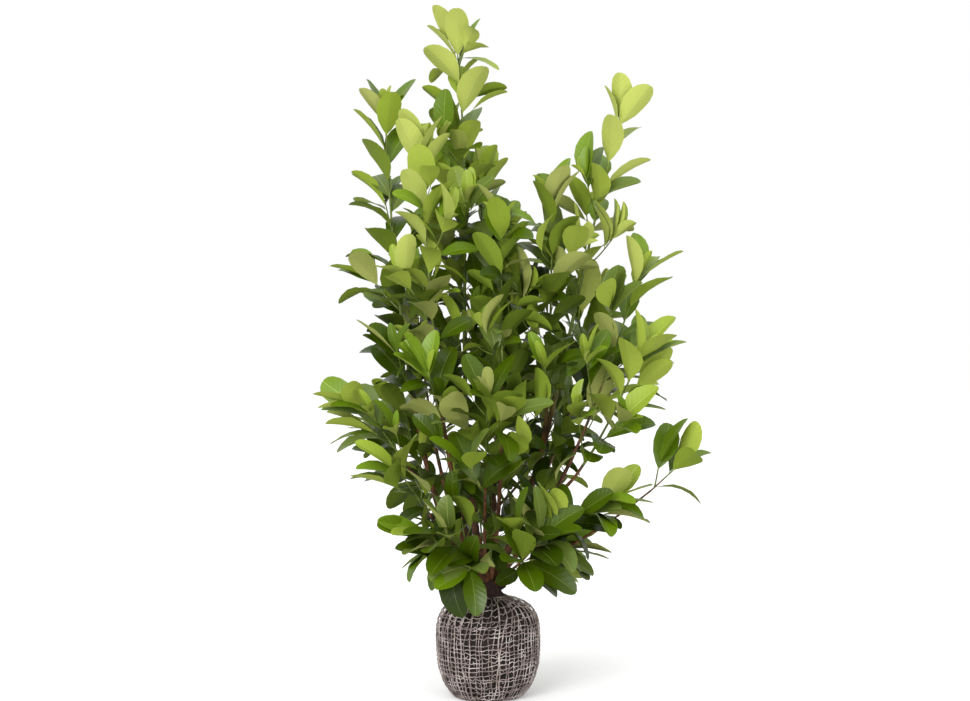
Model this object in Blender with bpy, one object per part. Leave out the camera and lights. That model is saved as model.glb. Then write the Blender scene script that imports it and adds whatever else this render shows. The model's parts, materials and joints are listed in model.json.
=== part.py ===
"""A cherry laurel on a netted root ball: a many-stemmed garden shrub, 1.8 m tall.

Units are metres, with +Z up. The origin is the middle of the root ball's flat underside, and the
side that faces the viewer is -Y. The shrub is a root ball, a short stool that stands on it, one
bare tapering bough for each shoot and, above each bough, one mass of leaves. A mass is a stem
with side twigs and leaves that a seeded rule places, all fused into one closed solid.
"""

import bisect
import math
import random
from dataclasses import dataclass

import bmesh
import bpy
import numpy as np
from mathutils import Vector
from mathutils.bvhtree import BVHTree

# Root ball: a soil ball that narrows to its foot, with a broad shoulder and a bare top
BALL_RADIUS = 0.134
BALL_HEIGHT = 0.256
BALL_WAIST = 0.150  # height of its widest ring
BALL_FOOT_RADIUS = 0.085
BALL_TOP_RADIUS = 0.052
BALL_UNDER_POWER = 2.6  # roundness of the profile below the waist
BALL_OVER_POWER = 3.0  # and above it
BALL_LUMP = 0.014  # share of the radius that its lumps rise and sink
BALL_WAVES = (  # the lumps' share of that, number round the ball, start, and turn per metre up
    (1.0, 3, 0.7, 0.0),
    (0.7, 5, 2.1, 14.0),
)
BALL_SIDES = 24
BALL_RINGS = 9

# Stool: the knuckle of old wood that the boughs leave from
GAP = 0.0003  # clearance between two solids that touch
SWELL = 0.0005  # growth of a solid that is used to cut its neighbour clear
STOOL_FLARE = 0.044  # radius of its root flare
STOOL_NECK = 0.025
STOOL_HEIGHT = 0.062
STOOL_DOME = 0.6  # share of its height above which it rounds over
STOOL_DOME_PULL = 0.75
STOOL_LOBE = 0.14  # share of the radius that the root lobes stand out
STOOL_LOBES = 4
STOOL_LOBE_START = 0.9
STOOL_FLARE_POWER = 3  # how fast the flare dies away upwards
STOOL_SIDES = 15
STOOL_RINGS = 6
STUB_FOOT = (0.008, 0.0, 0.012)  # above the ball: the sawn-off stem on the stool's right
STUB_HEADING = (-20.0, 28.0)  # its azimuth and rise
STUB_RADIUS = 0.0085
STUB_REACH = 0.046
STUB_TAPER = 0.9
STUB_SIDES = 8
FORK_LOW, FORK_HIGH = 0.016, 0.046  # where the flattest and the steepest bough begin, above the ball
FORK_STEEP = 66.0  # rise of the steepest bough
FORK_SPREAD = 0.013

# Limbs
BOUGH_SIDES = 5
SHOOT_STEP = 0.105  # length of one straight run of a bough and its stem
SHOOT_RUNS = 4  # the fewest runs in a shoot
STEM_SIDES = 3
STEM_TIP_RADIUS = 0.0018
TIP_SWEEP = 0.34  # share of a shoot's span that runs along its last heading
FLARE = 0.35  # extra radius at a foot
FLARE_FALL = 22.0
TAPER_POWER = 0.8
CURVE_POINTS = 48
HEADING_SPAN = 0.02  # share of a line to either side that its heading is read from
BEND_ROOM = 0.01  # least share of a line between a bend and an end

# Twigs
TWIG_SIDES = 3
TWIG_STEP = 0.090
TWIG_RUNS = 2
TWIG_RADIUS = 0.0024
TWIG_TIP_RADIUS = 0.0014
TWIG_TURN = 144.0  # degrees round the stem from one twig to the next
TWIG_TURN_LUCK = 15.0
TWIG_SEED_TURN = 77.0  # degrees that each seed turns the whole spiral by
TWIG_OPENING = 50.0  # degrees between a twig and its stem
TWIG_OPENING_LUCK = 8.0
TWIG_LIFT = 0.55  # how far a twig bends up
TWIG_LEVER = 0.35  # share of its length that it keeps its first and last heading
TWIG_PLACE_LUCK = (0.1, 0.5)
TWIG_LENGTH_LOW, TWIG_LENGTH_HIGH = 1.15, 0.55  # shares of a shoot's twig length, low and high on the stem
TWIG_LENGTH_LUCK = (0.85, 1.15)
TWIGS_FROM, TWIGS_TO = 0.04, 0.74  # the stretch of the stem that carries twigs
TWIG_TRIES = 7
TWIG_SWING = 30.0  # degrees further round at each try
TWIG_ROOM = 0.002  # least room between a twig and other wood
TWIG_ROOT_FREE = 0.20  # the stretch of a twig next to its stem that may touch wood
TWIG_SAMPLES = (0.4, 0.7, 1.0)
TWIG_SIDE = (0.0, -1.0, 0.2)  # the side of the stem that the spiral starts from
TWIG_STRIDES = (1009, 13)  # keep the random numbers of two shoots or two twigs apart

# A leaf's shape, as shares of its length or of its half width
LEAF_LENGTH = 0.146  # metres
LEAF_WIDTH = 0.46
LEAF_FOLD = 0.26  # rise of the edges above the midrib
LEAF_CURL = 0.10  # fall of the tip
LEAF_LIFT = 0.012  # half its thickness, at the middle of the midrib
LEAF_MIDDLE = 0.55
LEAF_SHOULDER, LEAF_SHOULDER_WIDTH = 0.48, 0.98  # where the outline turns, and its half width there
LEAF_BROW, LEAF_BROW_WIDTH = 0.97, 0.44  # the corners of its blunt end
LEAF_RIM = ((0, 2), (2, 4), (4, 5), (5, 3), (3, 0))  # the outline's edges, by number of corner
LEAF_BELOW, LEAF_ABOVE = 1, 6  # the corners under and over the midrib
LEAF_FACES = (
    *((LEAF_ABOVE, a, b) for b, a in LEAF_RIM),
    *((LEAF_BELOW, a, b) for a, b in LEAF_RIM),
)

# How leaves stand on a shoot
LEAF_SPACING = 0.0395
TWIG_SPACING = 0.85  # share of that on a twig
STEM_FIRST_LEAF, TWIG_FIRST_LEAF = 0.012, 0.030
TIP_SPACING = 0.010
TIP_LEAVES = 4
TIP_BACK = 0.003  # from the last leaf to the tip
LEAF_TURN = 137.5  # degrees round the shoot from one leaf to the next
LEAF_TURN_LUCK = 16.0
LEAF_OPENING_LOW, LEAF_OPENING_TIP = 64.0, 27.0  # degrees between a leaf and its shoot
LEAF_OPENING_LUCK = 9.0
LEAF_OPENING_RATE = 1.6
LEAF_LEVEL = 0.55  # how far the leaves of a level shoot turn towards its sides
LEAF_DROOP = 0.10
LEAF_LIGHT = 0.35
LEAF_ROLL_LUCK = 24.0
LEAF_YOUNG_REACH = 0.08  # metres from the tip over which leaves are young
LEAF_YOUNG_LENGTH = 0.90
LEAF_LENGTH_LUCK = (0.86, 1.08)
LEAF_WIDTH_LUCK = (0.90, 1.10)
LEAF_CURL_LUCK = (0.3, 1.5)
LEAF_TRIES = 8
LEAF_SWING = 26.0  # degrees further round at each try
LEAF_GUARD = 1.05  # a leaf this much larger has to be clear of the rest
LEAF_ROOT_FREE = 0.16  # the stretch next to its twig that may touch wood
LEAF_SIDE = (1.0, 0.0, 0.0)  # the side of the limb that the spiral starts from
LEAF_STRIDES = (31, 101, 17)  # keep the random numbers of two shoots, limbs or leaves apart
BALL_OF_SHAPE = 0.6  # radius of the sphere round a leaf or a twig, as a share of its length

# A mass's own space: the points nearer to its stem than to any other mass's
SPACE_MARGIN = 0.002  # metres that a mass stays inside it
SPACE_CAP = 1.55  # a mass's furthest reach, in half widths of its space
SPACE_POINTS = 14
SPACE_BEYOND = (0.05, 0.10)  # metres past the tip

# Colours, as linear red, green and blue
NETTED_SOIL = (0.136, 0.112, 0.105)
OLD_BARK = (0.058, 0.031, 0.020)
YOUNG_BARK = (0.090, 0.082, 0.034)
LEAF_GREENS = (
    (0.088, 0.152, 0.017),
    (0.130, 0.185, 0.030),
    (0.060, 0.114, 0.015),
    (0.238, 0.296, 0.045),
)
GREEN_ABOVE = 50.0  # rise of the shoots whose bough is green rather than brown
SOIL_ROUGHNESS, BARK_ROUGHNESS, LEAF_ROUGHNESS = 0.95, 0.75, 0.42


@dataclass(frozen=True)
class Shoot:
    """One stem of the shrub: a bare bough, and the mass of leaves that it carries."""

    name: str
    tip: tuple  # where its last leaves spring from
    parent: str  # the stool, or the bough that it forks from
    leaves_at: float  # azimuth on the stool in degrees, or share of the parent bough's length
    rise: float  # degrees above level at its foot
    tip_rise: float  # degrees above level at its tip
    radius: float  # at its foot
    bare: float  # share of its length that is bare bough
    twigs: int
    twig_length: float
    reach: float  # half width of its mass's own space
    seed: int
    sweep: float = 0.30  # share of its span over which it keeps its first heading


STOOL = "stool"
SHOOTS = (
    Shoot("left_leader", (-0.265, -0.03, 1.5), STOOL, 182, 26, 88, 0.0095, 0.4, 5, 0.14, 0.17, 9, 0.14),
    Shoot("top_leader", (-0.08, 0, 1.68), STOOL, 125, 66, 84, 0.01, 0.36, 6, 0.15, 0.17, 32),
    Shoot("mid_left", (-0.175, -0.1, 1.395), STOOL, 228, 56, 84, 0.008, 0.34, 4, 0.14, 0.15, 9),
    Shoot("centre", (-0.015, 0.07, 1.34), "top_leader", 0.62, 66, 86, 0.006, 0.22, 3, 0.14, 0.16, 38),
    Shoot("centre_front", (0.035, -0.13, 1.195), STOOL, 292, 64, 86, 0.007, 0.36, 4, 0.13, 0.15, 5),
    Shoot("right_leader", (0.345, 0, 1.5), STOOL, 8, 58, 74, 0.011, 0.38, 6, 0.14, 0.17, 23, 0.22),
    Shoot("right_inner", (0.165, -0.09, 1.27), "right_leader", 0.72, 60, 82, 0.0055, 0.2, 4, 0.12, 0.15, 28),
    Shoot("right_outer", (0.385, -0.05, 1.085), STOOL, 340, 44, 74, 0.008, 0.46, 4, 0.13, 0.17, 7, 0.26),
    Shoot("right_mid", (0.385, -0.15, 0.885), "right_outer", 0.66, 36, 62, 0.005, 0.24, 3, 0.12, 0.15, 8),
    Shoot("right_back", (0.3, 0.17, 1.02), STOOL, 38, 52, 78, 0.008, 0.44, 4, 0.14, 0.18, 36, 0.28),
    Shoot("back_mid", (0.04, 0.23, 1.21), STOOL, 82, 58, 84, 0.008, 0.38, 3, 0.15, 0.18, 38, 0.28),
    Shoot("back_left", (-0.2, 0.2, 1.09), STOOL, 148, 50, 82, 0.008, 0.42, 4, 0.14, 0.18, 36, 0.28),
    Shoot("back_low_left", (-0.23, 0.26, 0.69), "back_left", 0.52, 20, 60, 0.0045, 0.22, 3, 0.12, 0.17, 5),
    Shoot("back_low_right", (0.2, 0.3, 0.74), "back_mid", 0.5, 26, 62, 0.0045, 0.24, 3, 0.12, 0.17, 20),
    Shoot("left_arm", (-0.335, -0.05, 0.75), "left_leader", 0.6, 24, 30, 0.0045, 0.22, 3, 0.09, 0.16, 10),
    Shoot("left_low", (-0.225, -0.13, 0.59), "left_leader", 0.36, 26, 40, 0.0045, 0.2, 3, 0.1, 0.15, 33),
    Shoot("left_skirt", (-0.16, -0.13, 0.44), STOOL, 208, 36, 36, 0.005, 0.25, 3, 0.09, 0.14, 35),
    Shoot("front_shoot", (-0.003, -0.21, 0.77), STOOL, 262, 46, 86, 0.006, 0.46, 4, 0.12, 0.15, 23),
    Shoot("front_left", (-0.1, -0.23, 0.44), "front_shoot", 0.4, 24, 44, 0.004, 0.22, 3, 0.09, 0.14, 13),
    Shoot("front_right", (0.13, -0.22, 0.44), STOOL, 316, 34, 48, 0.005, 0.42, 3, 0.1, 0.15, 33),
    Shoot("right_low", (0.32, -0.1, 0.52), "right_outer", 0.42, 26, 36, 0.0045, 0.22, 3, 0.11, 0.15, 19),
    Shoot("right_skirt", (0.2, 0.02, 0.395), STOOL, 24, 24, 30, 0.005, 0.25, 3, 0.09, 0.14, 20),
    Shoot("right_arm", (0.49, -0.04, 0.6), STOOL, 356, 26, 46, 0.0055, 0.76, 1, 0.07, 0.15, 37),
    Shoot("back_skirt", (-0.02, 0.24, 0.44), STOOL, 104, 30, 44, 0.005, 0.4, 3, 0.1, 0.16, 10),
)

STUB = "stub"
FROM_STOOL = {STUB, *(shoot.name for shoot in SHOOTS if shoot.parent == STOOL)}


def unit(azimuth, rise):
    """The direction with this azimuth and this angle above level, both in degrees."""
    a = math.radians(azimuth)
    r = math.radians(rise)
    return Vector((math.cos(a) * math.cos(r), math.sin(a) * math.cos(r), math.sin(r)))


def square_to(axis, wanted):
    """The unit direction square to axis that lies nearest to wanted."""
    flat = wanted - axis * wanted.dot(axis)
    return (flat if flat.length > 1e-4 else axis.orthogonal()).normalized()


def around(axis, side, degrees):
    """The direction side, which is square to axis, turned about it."""
    angle = math.radians(degrees)
    return side * math.cos(angle) + axis.cross(side) * math.sin(angle)


def blend(low, high, share):
    """A value between low and high."""
    return low + (high - low) * share


def swing(attempt, step):
    """The degrees that a later try turns by: to one side, to the other, then further."""
    return (attempt + 1) // 2 * (step if attempt % 2 else -step)


class Line:
    """The line that a limb follows, in short straight runs, walked by share of its length."""

    def __init__(self, points):
        self.points = points
        self.travel = [0.0]
        for a, b in zip(points, points[1:]):
            self.travel.append(self.travel[-1] + (b - a).length)
        self.length = self.travel[-1]

    def at(self, share):
        """The point at a share of the length."""
        wanted = min(max(share, 0.0), 1.0) * self.length
        i = min(bisect.bisect_right(self.travel, wanted) - 1, len(self.points) - 2)
        span = self.travel[i + 1] - self.travel[i]
        return self.points[i].lerp(self.points[i + 1], (wanted - self.travel[i]) / span)

    def heading(self, share):
        """The unit direction at a share of the length."""
        return (self.at(share + HEADING_SPAN) - self.at(share - HEADING_SPAN)).normalized()

    def stations(self, start, end):
        """The shares from start to end at which it bends, with both ends."""
        bends = [travel / self.length for travel in self.travel]
        return [start, *(b for b in bends if start + BEND_ROOM < b < end - BEND_ROOM), end]


def curve(start, first, last, end, step, fewest):
    """A line along the cubic curve of these four points, in runs no longer than about one step."""
    fine = []
    for i in range(CURVE_POINTS + 1):
        t = i / CURVE_POINTS
        u = 1.0 - t
        fine.append(u**3 * start + 3 * u * u * t * first + 3 * u * t * t * last + t**3 * end)
    smooth = Line(fine)
    runs = max(fewest, math.ceil(smooth.length / step))
    return Line([smooth.at(i / runs) for i in range(runs + 1)])


@dataclass
class Limb:
    """A bough, stem or twig: its line, the stretch of it that is solid, and its radii."""

    line: Line
    start: float
    end: float
    radius: float
    tip_radius: float
    flare: float = 0.0

    def radius_at(self, share):
        """The radius at a share of the line."""
        swell = self.flare * self.radius * math.exp(-share * FLARE_FALL)
        return swell + blend(self.radius, self.tip_radius, min(1.0, share**TAPER_POWER))

    def mesh(self, sides, swell=0.0):
        """A closed tapering tube: an outline of a few sides, extruded from bend to bend."""
        bm = bmesh.new()
        bmesh.ops.create_circle(bm, cap_ends=True, segments=sides, radius=1.0)
        face = next(iter(bm.faces))
        centre = Vector()
        axis = Vector((0.0, 0.0, 1.0))
        radius = 1.0
        for i, share in enumerate(self.line.stations(self.start, self.end)):
            if i:
                inner = face
                made = bmesh.ops.extrude_face_region(bm, geom=[face])["geom"]
                face = next(g for g in made if isinstance(g, bmesh.types.BMFace))
                if i > 1:
                    bmesh.ops.delete(bm, geom=[inner], context="FACES_ONLY")
            turn = axis.rotation_difference(self.line.heading(share))
            grow = (self.radius_at(share) + swell) / radius
            for vertex in face.verts:
                vertex.co = self.line.at(share) + turn @ (vertex.co - centre) * grow
            centre = self.line.at(share)
            axis = self.line.heading(share)
            radius *= grow
        bmesh.ops.recalc_face_normals(bm, faces=bm.faces)
        return finished(bm)


@dataclass
class Leaf:
    """A leaf's root, the way it points, the way its upper side faces, and its sizes."""

    root: Vector
    along: Vector
    up: Vector
    length: float
    half_width: float
    curl: float

    def point(self, x, y, lift=0.0):
        """A place on it, x in lengths and y in half widths, with its fold and its curl."""
        across = self.up.cross(self.along)
        height = LEAF_FOLD * abs(y) * self.half_width + (lift - self.curl * x * x) * self.length
        return self.root + x * self.length * self.along + y * self.half_width * across + height * self.up

    def corners(self, start=0.0, guard=1.0):
        """Root, middle below, left and right shoulder, left and right brow, and middle above."""
        places = [(start, 0.0, 0.0), (LEAF_MIDDLE, 0.0, -LEAF_LIFT * guard)]
        for x, y in ((LEAF_SHOULDER, LEAF_SHOULDER_WIDTH), (LEAF_BROW, LEAF_BROW_WIDTH)):
            places += [(x * guard, y * guard, 0.0), (x * guard, -y * guard, 0.0)]
        places.append((LEAF_MIDDLE, 0.0, LEAF_LIFT * guard))
        return [self.point(*place) for place in places]

    def mesh(self):
        """The closed mesh of the leaf."""
        bm = bmesh.new()
        corners = [bm.verts.new(c) for c in self.corners()]
        for face in LEAF_FACES:
            bm.faces.new([corners[i] for i in face])
        bmesh.ops.recalc_face_normals(bm, faces=bm.faces)
        return finished(bm)


def finished(bm):
    """The mesh of a bmesh that is done with, in triangles."""
    mesh = bpy.data.meshes.new("piece")
    bmesh.ops.triangulate(bm, faces=bm.faces)
    bm.to_mesh(mesh)
    bm.free()
    return mesh


def placed(name, mesh):
    """An object with this mesh in the scene."""
    made = bpy.data.objects.new(name, mesh)
    bpy.context.scene.collection.objects.link(made)
    return made


def coloured(obj, colour, roughness, smooth=False):
    """Gives an object its own plain material and its shading."""
    material = bpy.data.materials.new(obj.name)
    material.use_nodes = True
    surface = material.node_tree.nodes["Principled BSDF"]
    surface.inputs["Base Color"].default_value = (*colour, 1.0)
    surface.inputs["Roughness"].default_value = roughness
    surface.inputs["Metallic"].default_value = 0.0
    obj.data.materials.clear()
    obj.data.materials.append(material)
    for polygon in obj.data.polygons:
        polygon.use_smooth = smooth
        polygon.material_index = 0


def apply_boolean(obj, operation, others):
    """Joins the others to obj, or cuts them from it, in one Boolean, and removes them."""
    helpers = bpy.data.collections.new("helpers")
    bpy.context.scene.collection.children.link(helpers)
    for other in others:
        helpers.objects.link(other)
        bpy.context.scene.collection.objects.unlink(other)
    modifier = obj.modifiers.new("join_or_cut", "BOOLEAN")
    modifier.operation = operation
    modifier.solver = "EXACT"
    modifier.operand_type = "COLLECTION"
    modifier.collection = helpers
    graph = bpy.context.evaluated_depsgraph_get()
    result = bpy.data.meshes.new_from_object(obj.evaluated_get(graph))
    obj.modifiers.clear()
    obj.data = result
    for other in others:
        bpy.data.objects.remove(other)
    bpy.data.collections.remove(helpers)


def keep_largest(mesh):
    """Drops every loose scrap and sealed hollow, so that the largest closed surface is left."""
    bm = bmesh.new()
    bm.from_mesh(mesh)
    bmesh.ops.triangulate(bm, faces=bm.faces)
    waiting = set(bm.verts)
    islands = []
    while waiting:
        island = {waiting.pop()}
        unvisited = list(island)
        while unvisited:
            vertex = unvisited.pop()
            for edge in vertex.link_edges:
                other = edge.other_vert(vertex)
                if other not in island:
                    island.add(other)
                    unvisited.append(other)
        waiting -= island
        islands.append(island)
    islands.sort(key=len)
    for island in islands[:-1]:
        bmesh.ops.delete(bm, geom=list(island), context="VERTS")
    bm.to_mesh(mesh)
    bm.free()


def lathed(profile, sides, shape):
    """A closed turned solid: a profile of (radius, height) spun about +Z, then shaped point by point."""
    bm = bmesh.new()
    ring = [bm.verts.new((radius, 0.0, height)) for radius, height in profile]
    edges = [bm.edges.new(pair) for pair in zip(ring, ring[1:])]
    bmesh.ops.spin(
        bm,
        geom=ring + edges,
        cent=(0.0, 0.0, 0.0),
        axis=(0.0, 0.0, 1.0),
        angle=math.tau,
        steps=sides,
        use_merge=True,
    )
    bmesh.ops.holes_fill(bm, edges=bm.edges, sides=0)
    for vertex in bm.verts:
        shape(vertex.co)
    bmesh.ops.recalc_face_normals(bm, faces=bm.faces)
    return finished(bm)


def ball_profile():
    """The root ball's profile, from the edge of its foot to the edge of its bare top."""

    def depth(radius, power):
        return (1.0 - (radius / BALL_RADIUS) ** power) ** (1.0 / power)

    under = BALL_WAIST / depth(BALL_FOOT_RADIUS, BALL_UNDER_POWER)
    over = (BALL_HEIGHT - BALL_WAIST) / depth(BALL_TOP_RADIUS, BALL_OVER_POWER)
    profile = []
    for i in range(BALL_RINGS + 1):
        height = BALL_HEIGHT * (0.5 - 0.5 * math.cos(math.pi * i / BALL_RINGS))
        reach, power = (under, BALL_UNDER_POWER) if height < BALL_WAIST else (over, BALL_OVER_POWER)
        share = min(1.0, abs(height - BALL_WAIST) / reach)
        profile.append((BALL_RADIUS * (1.0 - share**power) ** (1.0 / power), height))
    return profile


def lump(point):
    """Moves a point of the root ball in or out, least at its two flat ends."""
    angle = math.atan2(point.y, point.x)
    middle = math.sin(math.pi * min(1.0, max(0.0, point.z / BALL_HEIGHT)))
    wave = sum(h * math.sin(count * angle + start + turn * point.z) for h, count, start, turn in BALL_WAVES)
    grow = 1.0 + BALL_LUMP * middle * wave
    point.x *= grow
    point.y *= grow


def stool_mesh(swell=0.0):
    """The stool: a lobed root flare that narrows to a knuckle."""
    foot = BALL_HEIGHT + GAP
    profile = []
    for i in range(STOOL_RINGS + 1):
        share = i / STOOL_RINGS
        radius = STOOL_NECK + (STOOL_FLARE - STOOL_NECK) * (1.0 - share) ** STOOL_FLARE_POWER
        over = max(0.0, (share - STOOL_DOME) / (1.0 - STOOL_DOME))
        radius *= math.sqrt(1.0 - STOOL_DOME_PULL * over * over)
        profile.append((radius + swell, foot + share * STOOL_HEIGHT + (swell if i else -swell)))

    def lobes(point):
        angle = math.atan2(point.y, point.x)
        low = max(0.0, 1.0 - (point.z - foot) / STOOL_HEIGHT)
        grow = 1.0 + STOOL_LOBE * low * low * math.sin(STOOL_LOBES * angle + STOOL_LOBE_START)
        point.x *= grow
        point.y *= grow

    return lathed(profile, STOOL_SIDES, lobes)


def stub_mesh(swell=0.0):
    """The short sawn-off stem that leaves the stool on the right."""
    foot = Vector(STUB_FOOT) + Vector((0.0, 0.0, BALL_HEIGHT))
    end = foot + STUB_REACH * unit(*STUB_HEADING)
    line = Line([foot, foot.lerp(end, 0.5), end])
    return Limb(line, 0.0, 1.0, STUB_RADIUS, STUB_RADIUS * STUB_TAPER).mesh(STUB_SIDES, swell)


def shoot_line(shoot, boughs):
    """The line of a shoot, from inside its parent to its tip."""
    tip = Vector(shoot.tip)
    if shoot.parent == STOOL:
        height = BALL_HEIGHT + blend(FORK_LOW, FORK_HIGH, shoot.rise / FORK_STEEP)
        foot = Vector((0.0, 0.0, height)) + FORK_SPREAD * unit(shoot.leaves_at, 0.0)
    else:
        parent = boughs[shoot.parent]
        foot = parent.line.at(shoot.leaves_at * parent.end)
    outward = math.degrees(math.atan2(tip.y - foot.y, tip.x - foot.x))
    azimuth = shoot.leaves_at if shoot.parent == STOOL else outward
    span = (tip - foot).length
    first = foot + unit(azimuth, shoot.rise) * span * shoot.sweep
    last = tip - unit(outward, shoot.tip_rise) * span * TIP_SWEEP
    return curve(foot, first, last, tip, SHOOT_STEP, SHOOT_RUNS)


def space_axis(stem):
    """Points along a mass's stem and a little past its tip, which its space surrounds."""
    line = stem.line
    points = [line.at(s) for s in np.linspace(stem.start, 1.0, SPACE_POINTS)]
    points += [line.at(1.0) + line.heading(1.0) * past for past in SPACE_BEYOND]
    return np.array([tuple(p) for p in points])


def tree_of(mesh):
    """A tree of a mesh's faces, for finding what touches it."""
    places = [v.co.copy() for v in mesh.vertices]
    return BVHTree.FromPolygons(places, [tuple(p.vertices) for p in mesh.polygons])


def touches(tree, middle, radius, bodies):
    """Whether a shape, with the sphere round it, touches one of these bodies."""
    return any(
        (place - middle).length < reach + radius and tree.overlap(other)
        for place, reach, other, _ in bodies
    )


class Crown:
    """All the limbs and leaves, each kept inside its mass's own space and clear of the rest."""

    def __init__(self):
        self.boughs = {}
        self.stems = {}
        for shoot in SHOOTS:
            line = shoot_line(shoot, self.boughs)
            runs = len(line.points) - 1
            bare = round(shoot.bare * runs) / runs
            start = bare + GAP / line.length
            self.boughs[shoot.name] = Limb(line, 0.0, bare, shoot.radius, STEM_TIP_RADIUS, FLARE)
            self.stems[shoot.name] = Limb(line, start, 1.0, shoot.radius, STEM_TIP_RADIUS)
        self.axes = [space_axis(stem) for stem in self.stems.values()]
        self.reaches = np.array([shoot.reach for shoot in SHOOTS])
        self.twigs = {}
        self.leaves = {}
        self.wood = []
        self.blades = []

    def add_wood(self, mesh, owner=""):
        """Notes a limb, the stool or the ball as something that no leaf or twig may touch."""
        places = [v.co.copy() for v in mesh.vertices]
        middle = sum(places, Vector()) / len(places)
        radius = max((p - middle).length for p in places)
        self.wood.append((middle, radius, tree_of(mesh), owner))

    def in_space(self, index, points, margin):
        """Whether all points lie in the space of mass number index, margin metres from its edge."""
        places = np.array([tuple(p) for p in points])
        away = [np.linalg.norm(places[:, None] - axis[None], axis=2).min(axis=1) for axis in self.axes]
        share = np.array(away) / self.reaches[:, None]
        own = share[index].copy()
        share[index] = np.inf
        room = margin / self.reaches[index]
        return bool((own + room < share.min(axis=0)).all() and (own < SPACE_CAP).all())

    def grow_twigs(self, index):
        """The side twigs of a mass, spiralling up its stem, shorter towards its tip."""
        shoot = SHOOTS[index]
        grown = []
        for number in range(shoot.twigs):
            for attempt in range(TWIG_TRIES):
                twig = grown_twig(shoot, self.stems[shoot.name], number, attempt)
                samples = [twig.line.at(s) for s in TWIG_SAMPLES]
                if not self.in_space(index, samples, SPACE_MARGIN + TWIG_RADIUS):
                    continue
                room = Limb(twig.line, TWIG_ROOT_FREE, 1.0, TWIG_RADIUS, TWIG_RADIUS)
                tree = tree_of(room.mesh(TWIG_SIDES, TWIG_ROOM))
                radius = twig.line.length * BALL_OF_SHAPE
                if not touches(tree, twig.line.at(0.5), radius, self.wood + self.blades):
                    grown.append(twig)
                    break
        self.twigs[shoot.name] = grown
        for twig in grown:
            self.add_wood(twig.mesh(TWIG_SIDES), shoot.name)

    def has_room(self, leaf, owner):
        """Whether a leaf touches nothing but, near its root, its own mass's wood. If so it is noted."""
        middle = leaf.point(LEAF_MIDDLE, 0.0)
        radius = leaf.length * BALL_OF_SHAPE
        blade = BVHTree.FromPolygons(leaf.corners(LEAF_ROOT_FREE, LEAF_GUARD), LEAF_FACES)
        whole = BVHTree.FromPolygons(leaf.corners(0.0, LEAF_GUARD), LEAF_FACES)
        others = [body for body in self.wood if body[3] != owner]
        own = [body for body in self.wood if body[3] == owner] + self.blades
        if touches(whole, middle, radius, others) or touches(blade, middle, radius, own):
            return False
        self.blades.append((middle, radius, blade, owner))
        return True

    def grow_leaves(self, index):
        """The leaves along a mass's stem and twigs."""
        shoot = SHOOTS[index]
        of_shoot, of_limb, of_leaf = LEAF_STRIDES
        grown = []
        for number, limb in enumerate([self.stems[shoot.name], *self.twigs[shoot.name]]):
            for order, (share, age) in enumerate(leaf_places(limb, number > 0)):
                for attempt in range(LEAF_TRIES):
                    place = (shoot.seed * of_shoot + number) * of_limb + order
                    luck = random.Random(place * of_leaf + attempt)
                    turn = LEAF_TURN * order + swing(attempt, LEAF_SWING)
                    leaf = grown_leaf(limb, share, age, turn, luck)
                    inside = self.in_space(index, leaf.corners(), SPACE_MARGIN)
                    if inside and self.has_room(leaf, shoot.name):
                        grown.append(leaf)
                        break
        self.leaves[shoot.name] = grown


def grown_twig(shoot, stem, number, attempt):
    """The twig that the rule sets at one place, turned further round the stem at each try."""
    luck = random.Random((shoot.seed * TWIG_STRIDES[0] + number) * TWIG_STRIDES[1] + attempt)
    spin = shoot.seed * TWIG_SEED_TURN + number * TWIG_TURN
    spin += luck.uniform(-TWIG_TURN_LUCK, TWIG_TURN_LUCK) + swing(attempt, TWIG_SWING)
    up_stem = blend(TWIGS_FROM, TWIGS_TO, (number + luck.uniform(*TWIG_PLACE_LUCK)) / shoot.twigs)
    length = shoot.twig_length * blend(TWIG_LENGTH_LOW, TWIG_LENGTH_HIGH, up_stem)
    length *= luck.uniform(*TWIG_LENGTH_LUCK)
    share = blend(stem.start, 1.0, up_stem)
    heading = stem.line.heading(share)
    out = around(heading, square_to(heading, Vector(TWIG_SIDE)), spin)
    opening = math.radians(TWIG_OPENING + luck.uniform(-TWIG_OPENING_LUCK, TWIG_OPENING_LUCK))
    first = heading * math.cos(opening) + out * math.sin(opening)
    last = (first + Vector((0.0, 0.0, TWIG_LIFT))).normalized()
    foot = stem.line.at(share)
    end = foot + length * 0.5 * (first + last)
    lever = TWIG_LEVER * length
    line = curve(foot, foot + lever * first, end - lever * last, end, TWIG_STEP, TWIG_RUNS)
    return Limb(line, 0.0, 1.0, TWIG_RADIUS, TWIG_TIP_RADIUS)


def leaf_places(limb, is_twig):
    """(share of the line, age) of each leaf on a limb: wide apart, then crowded at the tip.

    Age runs from 1 at the oldest leaf to 0 at the tip."""
    length = (limb.end - limb.start) * limb.line.length
    crowd = TIP_SPACING * (TIP_LEAVES - 1)
    places = []
    travel = TWIG_FIRST_LEAF if is_twig else STEM_FIRST_LEAF
    while travel < length - crowd - 0.5 * LEAF_SPACING:
        places.append(travel)
        travel += LEAF_SPACING * (TWIG_SPACING if is_twig else 1.0)
    places += [length - crowd - TIP_BACK + TIP_SPACING * i for i in range(TIP_LEAVES)]
    return [(limb.start + p / limb.line.length, 1.0 - p / length) for p in places if p > 0.0]


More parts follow.
